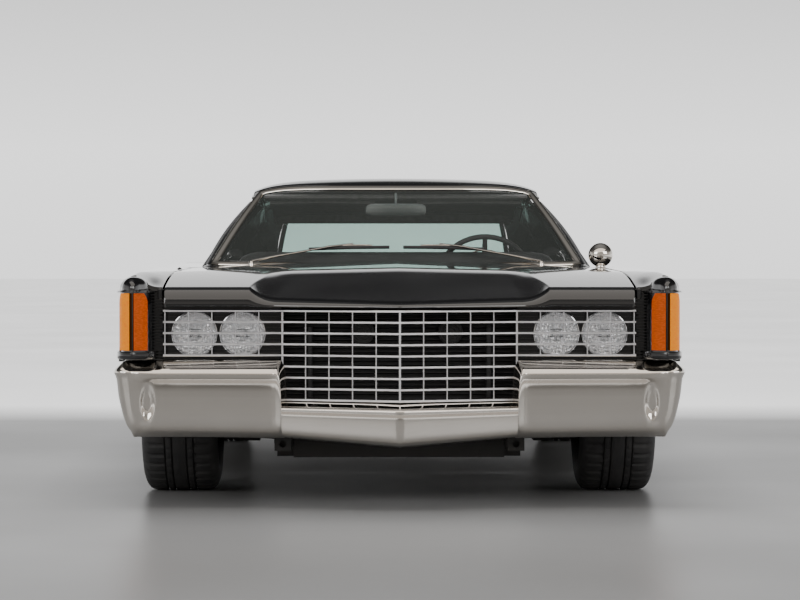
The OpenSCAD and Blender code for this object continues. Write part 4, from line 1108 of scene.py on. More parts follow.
du = np.concatenate([np.linspace(DOOR0, 1964, 10), [1969.5, 1970.5], np.linspace(1980, 2160, 14), np.linspace(2190, 3200, 44), [3216, 3230, DOOR1]])
do = np.array([section(u, 232, door_xi(u), 0) for u in du])
di3 = np.array([section(u, 232, door_xi(u), 7) if u < 1970 else door_inner(u) for u in du])
for sd, fn in (("left", lambda q: q), ("right", mirror)):
    bd = sd + "_door"
    slab(sd + "_door_shell", fn(do), fn(di3), PAINT, bd, (bd,), r=2.5)
    hb = []
    for z in (466, 584):
        hb.append(box_geo(976, 1000, 1960, 1990, z - 13, z + 13, 2))
        hb.append(revolve([(4.2, -13), (8, -13), (9, -12), (9, 12), (8, 13), (4.2, 13)], (990, 1953, z), "z", 24, True))
    V, F = join(hb)
    make(sd + "_door_hinge_leaves", fn(V), F, UNDER, bd, (bd,), angle=30)
    # inner trim: padded panel, armrest, pull and winder
    tr = []
    O = np.array([[(868 - 5 * math.sin(math.pi * min(max((z - 300) / 440, 0), 1)) ** 0.5, u, z) for z in np.linspace(262, 742, 20)] for u in np.linspace(2000, 3180, 40)])
    I = O.copy(); I[..., 0] = 873
    slab(sd + "_door_trim_panel", fn(O), fn(I), VINYL, bd, (), r=3)
    arm = [[(868, 2380 + 600 * k, 560), (868, 2380 + 600 * k, 640), (850 - 34 * math.sin(math.pi * k) ** 0.4, 2380 + 600 * k, 634), (842 - 36 * math.sin(math.pi * k) ** 0.4, 2380 + 600 * k, 618), (850 - 30 * math.sin(math.pi * k) ** 0.4, 2380 + 600 * k, 590)] for k in np.linspace(0.005, 0.995, 24)]
    V, F = loft(arm)
    make(sd + "_door_armrest", fn(V), F, LEATHER, bd, (), angle=50)
    pl = [tube(smooth_path([(862, 2420, 690), (846, 2440, 690), (844, 2520, 690), (846, 2600, 690), (862, 2620, 690)], 6), 7, 8),
          tube([(866, 2760, 520), (852, 2760, 520), (840, 2760, 520)], 7, 12), tube([(842, 2760, 520), (838, 2800, 500), (838, 2840, 480)], 6, 8), tube([(838, 2840, 480), (824, 2840, 480), (814, 2840, 480)], 9, 12)]
    V, F = join(pl)
    make(sd + "_door_pull_and_winder", fn(V), F, CHROME, bd, (), angle=45)
    # outer handle, lock and belt moulding
    zh = 742
    xh = float(side(3080, zh))
    hd = [tube(smooth_path([(xh - 2, 3016, zh), (xh + 16, 3030, zh), (xh + 20, 3090, zh), (xh + 16, 3150, zh), (xh - 2, 3164, zh)], 7), 7.5, 10, flat=1.2),
          revolve([(0.5, 4), (8, 3.4), (11, 1), (12, -3), (0.5, -3)], (xh + 1, 3090, zh - 62), "x", 24)]
    for u in (3022, 3158):
        hd.append(revolve([(0.5, 6), (12, 5), (17, 2), (18, -3), (0.5, -3)], (float(side(u, zh)) + 0.5, u, zh), "x", 24))
    V, F = join(hd)
    make(sd + "_door_handle", fn(V), F, CHROME, bd, (), angle=45)
    mo = [(door_xi(u) + 5, u, float(zin(u)) + 2) for u in np.linspace(2180, 3234, 50)]
    V, F = tube(fn(np.array(mo)), 6, 8, flat=0.6)
    make(sd + "_door_belt_moulding", V, F, BRIGHT, bd, (), angle=60)

# round mirror on the left door
mc = (846, 2006, 891)
V, F = revolve([(0.6, -26), (12, -25.2), (22, -23), (31, -18), (38, -12), (44, -5), (48, 2), (50, 9), (50, 15), (48.5, 16.5), (46.5, 15), (46, 11), (0.6, 11)], mc, "y", 64)
make("side_mirror_head", V, F, CHROME, "left_door", ("side_mirror",), angle=40)
V, F = revolve([(0.6, 11.4), (20, 12), (45.6, 13), (45.6, 11.2), (0.6, 11.2)], mc, "y", 64)
make("side_mirror_glass", V, F, MIRROR, "left_door", ("side_mirror",), angle=40)
ft = revolve([(0.6, 52), (8, 50), (8, 14), (10, 9), (15, 6), (20, 3), (21, 0), (21, -4), (0.6, -4)], (846, 2010, 845), "z", 40)
make("side_mirror_foot", ft[0], ft[1], CHROME, "left_door", ("side_mirror",), angle=40)

# ---------------------------------------------------------------- quarter panels
def quarter_xi(u):
    foot = min(790.0, 798 - 64 * min(max((u - 3400) / 1148, 0), 0.94) ** 2)
    return mixf(foot, LID_X + 8, float(S((u - 4470) / 140)))


def quarter_grid(th):
    st = [(u, 180.0) for u in np.linspace(DOOR1 + 8, AR - 430, 26)]
    st += [(AR - 200 - 220 * math.sin(a), 180 + 430 * math.cos(a)) for a in np.linspace(math.pi / 2, 0, 40)]
    st += [(AR + d, 610.0) for d in np.linspace(-180, 180, 14)]
    st += [(AR + 200 + 220 * math.sin(a), 180 + 430 * math.cos(a)) for a in np.linspace(0, math.pi / 2, 40)]
    st += [(u, 180 + 70 * (u - AR - 420) / 600) for u in np.linspace(AR + 432, 5045, 26)]
    st += [(u, 525.0) for u in np.linspace(5052, 5482, 24)]
    return np.array([section(u, zl, quarter_xi(u), th) for u, zl in st])


qo, qi = quarter_grid(0), quarter_grid(14)
for sd, fn in (("left", lambda q: q), ("right", mirror)):
    slab(sd + "_quarter_panel", fn(qo), fn(qi), PAINT, "chassis", ("quarter_panels",), r=2.5)
    # bright lips round the wheel openings, sill moulding
    lf = [(u, z) for u, z in [(AF - 170 - 265 * math.sin(a), 180 + 520 * math.cos(a)) for a in np.linspace(math.acos(335 / 520), 0, 24)]
          + [(AF + d, 700) for d in np.linspace(-150, 150, 12)] + [(AF + 170 + 265 * math.sin(a), 180 + 520 * math.cos(a)) for a in np.linspace(0, math.pi / 2, 36)]]
    V1 = tube(np.array([(float(side(u, z)) + 0.5, u, z) for u, z in lf]), 5, 8, up=(1, 0, 0))
    lr = [(AR - 200 - 220 * math.sin(a), 180 + 430 * math.cos(a)) for a in np.linspace(math.pi / 2, 0, 32)] + [(AR + d, 610) for d in np.linspace(-180, 180, 12)] \
        + [(AR + 200 + 220 * math.sin(a), 180 + 430 * math.cos(a)) for a in np.linspace(0, math.pi / 2, 32)]
    V2 = tube(np.array([(float(side(u, z)) + 0.5, u, z) for u, z in lr]), 5, 8, up=(1, 0, 0))
    V, F = join([V1, V2])
    make(sd + "_wheel_lip_mouldings", fn(V), F, BRIGHT, "chassis", (), angle=60)
    sl = np.array([[(x, u, z) for x, z in ((948, 172), (957, 178), (962, 190), (963, 206), (959, 218), (948, 222))] for u in np.linspace(1975, 3590, 30)])
    V, F = loft(sl)
    make(sd + "_sill_moulding", fn(V), F, BRIGHT, "chassis", (), angle=50)

# plates that close the rear ends of the quarter panels above the tail panel
ce = [(x, z) for x, _, z in section(5474, 700.0, LID_X + 8, 15.0, nt=17)]
ce = [q for q in ce if q[1] > 745 and q[0] < 940]
for sd, fn in (("left", lambda q: q), ("right", mirror)):
    eo = np.array([[(x, 5474, mixf(734, z, t)) for t in np.linspace(0, 1, 6)] for x, z in ce])
    ei = eo - np.array([0, 5, 0])
    slab(sd + "_quarter_end", fn(eo), fn(ei), PAINT, "chassis", (), r=0)

# ---------------------------------------------------------------- luggage lid, shelf, tail
def lid_z(x, u):
    return zin(u) + 14 * (1 - (x / LID_X) ** 2)


lx = np.concatenate([np.linspace(-LID_X, -640, 8), np.linspace(-600, 600, 31), np.linspace(640, LID_X, 8)])


def lid_grid(k):
    G = []
    for x in lx:
        row = [(x, u, float(lid_z(x, u)) - k * 12) for u in np.linspace(4640, 5396, 34)]
        v = 30 * (1 - (x / LID_X) ** 2)
        for a in np.radians(np.linspace(8, 90, 12)):
            row.append((x, 5400 + (70 + v - k * 12) * math.sin(a), float(lid_z(x, 5400)) - 8 * math.sin(a) - 60 * (1 - math.cos(a)) - k * 12 * math.cos(a)))
        G.append(row)
    return np.array(G)


slab("luggage_lid_panel", lid_grid(0), lid_grid(1), PAINT, "luggage_lid", ("luggage_lid",), r=2.5)
gc = smooth_path([(4474, 792), (4496, 706), (4530, 627), (4600, 598), (4672, 634), (4696, 722), (4700, 824)], 6)
gp = []
for sx in (1, -1):
    gp.append(tube([(sx * 600, a, b) for a, b in gc], 8, 10, up=(1, 0, 0), flat=0.75))
    gp.append(revolve([(4.2, -12), (8, -12), (9, -11), (9, 11), (8, 12), (4.2, 12)], (sx * 600, 4474, 792), "x", 24, True))
V, F = join(gp)
make("luggage_lid_hinge_arms", V, F, UNDER, "luggage_lid", ("luggage_lid",), angle=40)
hc = smooth_path([(1880, 770), (1845, 739), (1798, 752), (1779, 790), (1778, 836)], 6)
gp = []
for sx in (1, -1):
    gp.append(tube([(sx * 600, a, b) for a, b in hc], 8, 10, up=(1, 0, 0), flat=0.75))
    gp.append(revolve([(4.2, -12), (8, -12), (9, -11), (9, 11), (8, 12), (4.2, 12)], (sx * 600, 1880, 770), "x", 24, True))
V, F = join(gp)
make("hood_hinge_arms", V, F, UNDER, "hood", ("hood",), angle=40)


def shelf_grid(k):
    return np.array([[(x, mixf(4598 - 12 * (x / LID_X) ** 2, 4632, t), float(lid_z(x, 4632)) - 12 * (1 - t) - k * 12) for t in np.linspace(0, 1, 8)] for x in lx])


slab("rear_shelf_panel", shelf_grid(0), shelf_grid(1), PAINT, "chassis", ("rear_shelf",), r=2)
pt = [box_geo(-560, 560, 4070, 4604, 800, 812, 3), box_geo(-560, 560, 4592, 4618, 804, 824, 3)]
V, F = join(pt)
make("parcel_shelf", V, F, CARPET, "chassis", ("rear_shelf",), angle=30)
hp = []
for sx in (1, -1):
    hp.append(box_geo(min(sx * 540, sx * 624), max(sx * 540, sx * 624), 4430, 4456, 799, 813, 2))
    for a, b in ((576, 583), (617, 624)):
        hp.append(box_geo(min(sx * a, sx * b), max(sx * a, sx * b), 4430, 4480, 786, 812, 1.5))
    hp.append(tube([(sx * 574, 4474, 792), (sx * 600, 4474, 792), (sx * 626, 4474, 792)], 4, 16))
V, F = join(hp)
make("luggage_lid_hinge_brackets", V, F, UNDER, "chassis", ("rear_shelf",), angle=30)

tl = smooth_path([(897, 5486), (906, 5500), (920, 5508), (936, 5512), (952, 5507), (964, 5492), (967, 5486)], 5)
lamp_ring = np.vstack([tl, [[960, 5480]], [[900, 5480]]])


def tring(inset, z):
    c = np.array([933.0, 5488.0])
    v = c - lamp_ring
    l = np.linalg.norm(v, axis=1, keepdims=True)
    q = lamp_ring + v / np.maximum(l, 1e-6) * np.minimum(inset, l * 0.9)
    return np.column_stack([q, np.full(len(q), float(z))])


lens_t = loft([tring(9, 535), tring(3, 537), tring(2, 543), tring(2, 656), tring(2, 770), tring(3, 776), tring(9, 778)])
frames = []
for z in (541, 618, 656, 694, 772):
    frames.append(loft([tring(1.5, z - 4), tring(-1.5, z - 2.5), tring(-1.5, z + 2.5), tring(1.5, z + 4)]))
fr = join(frames)
for sd, fn in (("left", lambda q: q), ("right", mirror)):
    make(sd + "_tail_lens", fn(lens_t[0]), lens_t[1], RED, "chassis", ("tail_lamps",), angle=45)
    make(sd + "_tail_lamp_bands", fn(fr[0]), fr[1], BRIGHT, "chassis", ("tail_lamps",), angle=40)

# ---------------------------------------------------------------- rear bumper and plate
path_b = [(0, 5613), (150, 5610), (300, 5603), (450, 5592), (600, 5578), (750, 5560), (860, 5543), (910, 5530), (945, 5508), (966, 5470), (976, 5400), (981, 5300), (984, 5180), (986, 5060)]
rm, re_ = [70, 30, 8, 0, 0, 6, 40, 70], [70, 46, 26, 10, 2, 2, 4, 10]
rtop = lambda x, k: mixf(498, 518, k)
rlow = lambda x, k: mixf(232, 250, k)
rblend = lambda i: float(S((i - 6) / 3))
ro = both_ways(bumper_rows(path_b, 6, rtop, rlow, rm, re_, rblend, -1, 0))
ri = both_ways(bumper_rows(path_b, 6, rtop, rlow, rm, re_, rblend, -1, 7))
slab("rear_bumper_bar", ro, ri, CHROME, "chassis", ("rear_bumper",), r=0)
V, F = box_geo(-160, 160, 5590, 5621, 288, 442, 6)
make("plate_pad", V, F, SATIN, "chassis", ("rear_bumper",), angle=30)
pb = [revolve([(0.5, 4.5), (4, 4), (7, 1.5), (7.5, -1), (0.5, -1)], (x, 5621, z), "y", 20) for x in (-88.9, 88.9) for z in (304, 424.65)]
V, F = join(pb)
make("plate_bolts", V, F, BRIGHT, "chassis", (), angle=40)

# ---------------------------------------------------------------- tyres, nuts, centre caps
def tyre_geo(seg=300):
    h, r = 142.5, 367.0
    right = [(255, h - 22), (262, h - 15), (276, h - 8), (290, h - 3), (306, h - 0.5), (320, h - 1.5), (326, h - 3.2), (331, h - 4.5), (338, h - 7.2), (345, h - 10.2), (352, h - 15.5), (358, h - 21), (362, h - 27), (365, h - 34)]
    tread = []
    edges = [h - 44]
    ribs = [(98.5, 56), (50, 30), (24, -24), (-30, -50), (-56, -98.5)]
    for a, b in ribs:
        tread += [(358.5, a + 1), (366.2, a - 0.4), (367, a - 2.5), (367, (a + b) / 2), (367, b + 2.5), (366.2, b + 0.4), (358.5, b - 1)]
    prof = right + tread[1:-1] + [(a, -b) for a, b in right[::-1]] + [(254, -h + 24), (254, 0), (254, h - 24)]
    prof = np.array(prof)
    m = len(prof)
    V = np.zeros((seg, m, 3))
    for k in range(seg):
        a = 2 * math.pi * k / seg
        rr = prof[:, 0].copy()
        ph = k % 6
        sh = (np.abs(prof[:, 1]) > 58) & (prof[:, 0] > 350)
        if ph in (0, 1):
            rr[sh] -= np.clip((prof[sh, 0] - 350) * 0.4, 0, 5.5)
        mid = (np.abs(prof[:, 1]) < 50) & (prof[:, 0] > 365)
        if ph == 3:
            rr[mid & (np.abs(prof[:, 1]) > 26)] -= 3.0
        V[k, :, 0] = prof[:, 1]
        V[k, :, 1] = rr * math.cos(a)
        V[k, :, 2] = rr * math.sin(a)
    return V.reshape(-1, 3), quads(seg, m, wi=True, wj=True)


tv, tf = tyre_geo()
nuts = []
for k in range(5):
    a = math.radians(72 * k + 18)
    c = np.array([0, 63.5 * math.cos(a), 63.5 * math.sin(a)])
    nuts.append(revolve([(0.5, 102), (5, 101), (9, 97), (10.5, 94), (10.5, 78), (0.5, 78)], c, "x", 6))
nuts.append(revolve([(0.6, 112), (18, 111), (34, 107), (44, 101), (48, 95), (48, 90), (0.6, 90)], (0, 0, 0), "x", 48))
nv, nf = join(nuts)
for nm, sx, u in (("front_left", 1, AF), ("front_right", -1, AF), ("rear_left", 1, AR), ("rear_right", -1, AR)):
    c = np.array([sx * 817.0, u, 367.0])
    make(nm + "_tread_tyre", tv * np.array([sx, 1, 1]) + c, tf, RUBBER, nm + "_wheel", (nm + "_tyre",), angle=32)
    make(nm + "_nuts_and_cap", nv * np.array([sx, 1, 1]) + c, nf, CHROME, nm + "_wheel", (), angle=35)

# ---------------------------------------------------------------- cabin
def soften(ob, cap, frames=20):
    """Inflates the cushion as cloth and keeps the result on the mesh."""
    me = ob.data
    n = len(me.vertices)
    rest = np.zeros(n * 3)
    me.vertices.foreach_get("co", rest)
    rest = rest.reshape(-1, 3)
    md = ob.modifiers.new("inflate", "CLOTH")
    st = md.settings
    st.quality = 4
    st.mass = 0.3
    st.use_pressure = True
    st.uniform_pressure_force = 4.0
    st.effector_weights.gravity = 0.0
    md.collision_settings.use_collision = False
    md.collision_settings.use_self_collision = False
    md.point_cache.frame_start = 1
    md.point_cache.frame_end = frames
    for f in range(1, frames + 1):
        scene.frame_set(f)
    ev = ob.evaluated_get(bpy.context.evaluated_depsgraph_get())
    now = np.zeros(n * 3)
    ev.data.vertices.foreach_get("co", now)
    d = now.reshape(-1, 3) - rest
    l = np.linalg.norm(d, axis=1, keepdims=True)
    d *= np.minimum(1, cap / np.maximum(l, 1e-9))
    ob.modifiers.remove(md)
    scene.frame_set(1)
    me.vertices.foreach_set("co", (rest + d).reshape(-1))
    me.update()


def cushion(name, x0, x1, poly, nodes, channels, along, zmin=None, voxel=0.011, cap=0.02, body="chassis"):
    """Seat cushion: profile in (u, z) between x0 and x1, remeshed, inflated, then sewn in channels."""
    q = np.array(poly, float)
    ctr = q.mean(axis=0)
    q = q + (ctr - q) / np.linalg.norm(ctr - q, axis=1, keepdims=True) * 16
    sec = smooth_path(np.vstack([q, q[:1]]), 4)[:-1]
    rings = []
    for x, s in ((x0 + 14, 0.93), (x0 + 20, 0.985), (x0 + 36, 1.0), (x1 - 36, 1.0), (x1 - 20, 0.985), (x1 - 14, 0.93)):
        rings.append([(x, ctr[0] + (a - ctr[0]) * s, ctr[1] + (b - ctr[1]) * s) for a, b in sec])
    V, F = loft(rings)
    me = bpy.data.meshes.new(name + "_base")
    me.from_pydata([tuple(v) for v in to_m(V)], [], [tuple(int(i) for i in f) for f in F])
    bm = bmesh.new(); bm.from_mesh(me); bmesh.ops.recalc_face_normals(bm, faces=bm.faces); bm.to_mesh(me); bm.free()
    tmp = bpy.data.objects.new(name + "_base", me)
    scene.collection.objects.link(tmp)
    rm_ = tmp.modifiers.new("remesh", "REMESH")
    rm_.mode = "VOXEL"
    rm_.voxel_size = voxel
    fine = bpy.data.meshes.new_from_object(tmp.evaluated_get(bpy.context.evaluated_depsgraph_get()))
    bpy.data.objects.remove(tmp)
    fine.name = name
    ob = bpy.data.objects.new(name, fine)
    scene.collection.objects.link(ob)
    soften(ob, cap)
    n = len(fine.vertices)
    co = np.zeros(n * 3); fine.vertices.foreach_get("co", co); co = co.reshape(-1, 3)
    nr = np.zeros(n * 3); fine.vertices.foreach_get("normal", nr); nr = nr.reshape(-1, 3)
    pos = co[:, 0] * 1000 if along == "x" else co[:, 1] * 1000 + HALF_L if along == "u" else co[:, 2] * 1000
    dep = np.zeros(n)
    for c in channels:
        dep += 7.5 * np.exp(-((pos - c) / 9.0) ** 2)
    co -= nr * (dep / 1000)[:, None]
    fine.vertices.foreach_set("co", co.reshape(-1))
    fine.polygons.foreach_set("use_smooth", [True] * len(fine.polygons))
    fine.update()
    fine.materials.clear()
    fine.materials.append(LEATHER)
    sub = ob.modifiers.new("smooth", "SUBSURF")
    sub.levels = 1
    sub.render_levels = 1
    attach(ob, body)
    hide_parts(*nodes)
    return ob


fc = [(2562, 336), (2542, 400), (2570, 446), (2700, 455), (3005, 424), (3010, 336)]
fb = [(3000, 420), (3060, 340), (3112, 336), (3238, 800), (3233, 834), (3182, 838), (3142, 800)]
for sd, a, b in (("left", 62, 636), ("right", -636, -62)):
    mid = (a + b) / 2
    cushion(sd + "_front_cushion", a, b, fc, ("front_seat",), [mid + k * 92 for k in (-2, -1, 0, 1, 2)], "x")
    cushion(sd + "_front_backrest", a, b, fb, ("front_seat",), [mid + k * 92 for k in (-2, -1, 0, 1, 2)], "x")
cushion("front_armrest", -58, 58, [(2640, 400), (2640, 520), (2980, 540), (3010, 400)], ("front_seat",), [0], "x")
cushion("rear_seat_cushion", -606, 606, [(3600, 336), (3584, 426), (3622, 454), (3990, 426), (3990, 336)], ("rear_seat",), [k * 100 for k in range(-5, 6)], "x")
cushion("rear_seat_back", -606, 606, [(3910, 430), (3920, 350), (4040, 340), (4042, 762), (4028, 792), (3998, 788)], ("rear_seat",), [k * 100 for k in range(-5, 6)], "x")
V, F = box_geo(-560, 560, 2620, 3000, 200, 338, 8)
make("front_seat_base", V, F, CARPET, "chassis", ("front_seat",), angle=30)

cp = [box_geo(-812, 812, 1946, 3540, 188, 196, 3)]
tn = np.array([[(x, u, 196 + 72 * math.exp(-(x / 120.0) ** 4)) for x in np.linspace(-230, 230, 24)] for u in np.linspace(1950, 3520, 12)])
tb = tn.copy(); tb[..., 2] = 190
cp.append(slab_geo(tn, tb, 0))
V, F = join(cp)
make("cabin_carpet", V, F, CARPET, "chassis", (), angle=40)


def col(p):
    p = np.array(p, float).reshape(-1, 3)
    a = math.radians(-62)
    y = p[:, 1] * math.cos(a) - p[:, 2] * math.sin(a)
    z = p[:, 1] * math.sin(a) + p[:, 2] * math.cos(a)
    return np.column_stack([p[:, 0] + 380, y + 2470, z + 790])


ring = [(194 * math.cos(t), 194 * math.sin(t), 14) for t in np.linspace(0, 2 * math.pi, 97)[:-1]]
V, F = tube(ring, 11.5, 14, closed=True)
sp = [(V, F)]
for a in (0, math.pi, -math.pi / 2):
    d = np.array([math.cos(a), math.sin(a), 0])
    sp.append(tube([d * r + np.array([0, 0, h]) for r, h in ((26, -2), (60, 2), (110, 4), (160, 8), (190, 13))], [17, 15, 12, 11, 10], 10, flat=0.45))
sp.append(revolve([(0.6, 13), (20, 12.5), (36, 9), (44, 2), (46, -10), (44, -24), (14, -24), (14, -2), (0.6, -2)], (0, 0, 0), "z", 40))
V, F = join(sp)
make("steering_wheel_rim", col(V), F, VINYL, "steering_wheel", ("steering_wheel",), angle=45)
V, F = tube([(128 * math.cos(t), 128 * math.sin(t), 16) for t in np.linspace(math.pi, 2 * math.pi, 50)], 3.2, 8)
make("horn_ring", col(V), F, CHROME, "steering_wheel", (), angle=60)

dp = [(2124, 800), (2152, 836), (2220, 841), (2300, 841), (2336, 832), (2350, 812), (2351, 772), (2336, 745), (2312, 704), (2301, 640), (2299, 564), (2250, 542), (2152, 642), (2122, 720)]
ds_ = smooth_path(dp + dp[:1], 4)[:-1]
xx = np.concatenate([[-735, -732, -726], np.linspace(-700, 700, 36), [726, 732, 735]])
rings = []
for x in xx:
    s = 1 - 0.06 * max(0, (abs(x) - 720) / 15)
    c = ds_.mean(axis=0)
    rings.append([(x, c[0] + (a - c[0]) * s, c[1] + (b - c[1]) * s) for a, b in ds_])
V, F = loft(rings)
hd = smooth_path([(2162, 836), (2196, 868), (2236, 892), (2288, 903), (2330, 899), (2345, 884), (2343, 858), (2320, 838), (2240, 834), (2162, 836)], 4)[:-1]
hr_ = []
for x, k in [(sx_ * w, k) for sx_, w, k in ([(-1, 668, 0.15), (-1, 662, 0.45), (-1, 648, 0.72), (-1, 620, 0.9), (-1, 580, 1.0)] + [(1, w, 1.0) for w in np.linspace(-540, 540, 28)] + [(1, 580, 1.0), (1, 620, 0.9), (1, 648, 0.72), (1, 662, 0.45), (1, 668, 0.15)])]:
    hr_.append([(x, 2255 + (a - 2255) * (0.7 + 0.3 * k), 836 + (b - 836) * k) for a, b in hd])
V1, F1 = loft(hr_)
make("dash_hood", V1, F1, VINYL, "chassis", (), angle=50)
make("dash_pad", V, F, VINYL, "chassis", ("dashboard",), angle=50)
gd = []
for x in (300, 380, 460):
    gd.append(revolve([(30, 0), (36, 2), (38, 8), (34, 10), (30, 6)], (x, 2346, 786), "y", 32, True))
for x in (-520, -120, 120):
    gd.append(box_geo(x - 60, x + 60, 2338, 2356, 772, 796, 3))
gd.append(box_geo(-90, 90, 2304, 2322, 660, 716, 3))
V, F = join(gd)
make("dash_bezels", V, F, BRIGHT, "chassis", (), angle=40)
gd = []
for x in (300, 380, 460):
    gd.append(revolve([(0.6, 5), (29, 5), (30, 2), (0.6, 2)], (x, 2346, 786), "y", 32))
for x in (-520, -120, 120):
    for k in range(5):
        gd.append(box_geo(x - 54, x + 54, 2354, 2358, 774 + k * 4.4, 776 + k * 4.4, 0.5))
V, F = join(gd)
make("dash_dials", V, F, SATIN, "chassis", (), angle=40)

mr_ = []
for z, u, sx_, sz_ in ((0, 8, 0.9, 0.75), (0, 6, 0.97, 0.92), (0, 0, 1, 1), (0, -8, 0.97, 0.92), (0, -14, 0.86, 0.7), (0, -16, 0.4, 0.3)):
    mr_.append([(128 * sx_ * np.sign(math.cos(t)) * abs(math.cos(t)) ** 0.35, 2352 + u, 1082 + 27 * sz_ * np.sign(math.sin(t)) * abs(math.sin(t)) ** 0.5) for t in np.linspace(0, 2 * math.pi, 49)[:-1]])
V, F = loft(mr_)
st_ = tube([(0, 2345, 1100), (0, 2372, 1134), (0, 2424, 1150)], 6, 10)
V, F = join([(V, F), st_])
make("interior_mirror", V, F, MIRROR_SHELL, "chassis", (), angle=40)
for sd, sx in (("left", 1), ("right", -1)):
    vz = np.array([[(sx * x, 2510 + 96 * t, 1130 - 8 * t - 0.02 * abs(x - 320)) for t in np.linspace(0, 1, 8)] for x in np.linspace(90, 540, 20)])
    vb = vz.copy(); vb[..., 2] -= 16
    slab(sd + "_sun_visor", vz, vb, HEADLINER, "chassis", (), r=5)

V, F = revolve([(0.5, 7), (3, 6.5), (5, 4), (9, 1.5), (11, 0), (11, -6), (0.5, -6)], (-862, 1450, 837), "z", 28)
make("antenna_base", V, F, SATIN, "chassis", (), angle=40)

# ---------------------------------------------------------------- linings of the hood, lid and luggage space
def quilt(x, u, px, pu):
    return (abs(math.sin(math.pi * x / px)) * abs(math.sin(math.pi * u / pu))) ** 0.4


def hood_lining(th, puff):
    G = []
    for x in np.linspace(-690, 690, 93):
        f = float(hood_front(x))
        G.append([(x, u, float(hood_skin(x, u - f)) - th - puff * quilt(x, u, 138, 150)) for u in np.linspace(f + 130, 1700, 86)])
    return np.array(G)


slab("hood_lining", hood_lining(19, 0), hood_lining(23, 6), CARPET, "hood", (), r=0)


def lid_lining(th, puff):
    return np.array([[(x, u, float(lid_z(x, u)) - th - puff * quilt(x, u - 4735, 160, 155)) for u in np.linspace(4735, 5355, 61)] for x in np.linspace(-640, 640, 97)])


slab("luggage_lid_lining", lid_lining(13, 0), lid_lining(17, 6), CARPET, "luggage_lid", (), r=0)
for sd, fn in (("left", lambda q: q), ("right", mirror)):
    def trim_side(th):
        G = []
        for u in np.linspace(4440, 5406, 30):
            w = min(float(side(u, 420)) - 30, 925)
            row = [(x, u, 358 - th) for x in np.linspace(604, w - 60, 8)]
            row += [(w - 60 + (60 + th) * math.sin(a), u, 418 - (60 + th) * math.cos(a)) for a in np.radians([20, 40, 60, 80])]
            row += [(min(float(side(u, z)) - 30, 925) + th, u, z) for z in np.linspace(440, 764, 10)]
            G.append(row)
        return np.array(G)
    slab(sd + "_luggage_trim", fn(trim_side(0)), fn(trim_side(6)), CARPET, "chassis", (), r=0)
    V, F = join([box_geo(602, 647, 4068, 4446, 350, 359, 1.5), box_geo(640, 646, 4068, 4444, 352, 470, 1.5)])
    make(sd + "_luggage_floor_edge", fn(V), F, CARPET, "chassis", (), angle=30)
V, F = join([box_geo(-604, 604, 4070, 5412, 357, 361, 1.2)])
make("luggage_mat", V, F, CARPET, "chassis", (), angle=30)
V, F = join([box_geo(-922, 922, 5409, 5417, 346, 520, 2)] + [box_geo(x - 12, x + 12, 5403, 5410, 366, 500, 2.5) for x in np.arange(-800, 801, 160)])
make("rear_valance", V, F, UNDER, "chassis", (), angle=30)
pbx = np.array(path_b[:8], float)


def filler(th):
    return np.array([[(x, mixf(np.interp(abs(x), [0, 400, 930], [5450, 5436, 5430]), np.interp(abs(x), pbx[:, 0], pbx[:, 1]) - 62, t),
                       mixf(507, 490, t) - 8 * math.sin(math.pi * t) - th) for t in np.linspace(0, 1, 9)] for x in np.linspace(-900, 900, 61)])


slab("rear_bumper_filler", filler(0), filler(4), SATIN, "chassis", (), r=0)

bk = box_geo(888, 950, 5432, 5483, 529, 783, 6)
ap = [(x, z) for x, z in ((466, 505), (560, 508), (700, 510), (800, 510), (880, 508))]
for sd, fn in (("left", lambda q: q), ("right", mirror)):
    make(sd + "_tail_lamp_backing", fn(bk[0]), bk[1], SATIN, "chassis", (), angle=30)
    # splash aprons ahead of the front wheelhouses
    ao = np.array([[(min(x, float(side(u, 510)) - 24), u, z + 0.08 * (u - 400)) for u in np.linspace(400, 554, 10)] for x, z in ap])
    slab(sd + "_splash_apron", fn(ao), fn(ao - np.array([0, 0, 4.0])), UNDER, "chassis", (), r=0)

# ---------------------------------------------------------------- fittings of the engine bay
EC = 965
V, F = revolve([(0.6, 790), (20, 789), (24, 785), (60, 783), (140, 780), (168, 777), (176, 772), (178, 766), (175, 760), (168, 758), (168, 742), (175, 740), (179, 735), (176, 728), (150, 724), (70, 722), (66, 714), (0.6, 714)], (0, EC, 0), "z", 96)
sn = tube(smooth_path([(130, 880, 749), (200, 800, 748), (268, 712, 745), (318, 622, 738)], 6), 33, 20, flat=0.62)
V, F = join([(V, F), sn])
make("air_cleaner", V, F, BLACK, "chassis", (), angle=35)
V, F = join([revolve([(0.6, 800), (6, 799), (8, 795), (9, 789), (0.6, 789)], (0, EC, 0), "z", 24), tube([(-20, EC, 803), (-8, EC, 796), (8, EC, 796), (20, EC, 803)], 3, 10),
             revolve([(178.2, 770), (179.6, 770), (179.6, 764), (178.2, 764)], (0, EC, 0), "z", 96, True)])
make("air_cleaner_nut", V, F, BRIGHT, "chassis", (), angle=40)
rib = [(206, 642), (206, 688), (211, 699), (220, 703), (226, 699), (232, 703), (238, 699), (244, 703), (250, 699), (256, 702), (268, 694), (279, 672), (284, 655), (284, 642)]
vc = []
for sx in (1, -1):
    cen = np.array([245.0, 660.0])
    rings = [[(sx * (cen[0] + (x - cen[0]) * k), u, 642 + (z - 642) * k) for x, z in rib] for u, k in ((702, 0.6), (705, 0.84), (712, 0.96), (722, 1.0), (1218, 1.0), (1228, 0.96), (1235, 0.84), (1238, 0.6))]
    vc.append(loft(rings))
    vc.append(box_geo(min(sx * 204, sx * 294), max(sx * 204, sx * 294), 694, 1246, 638.5, 646, 1.5))
V, F = join(vc)
make("valve_covers", V, F, IRON, "chassis", (), angle=30)
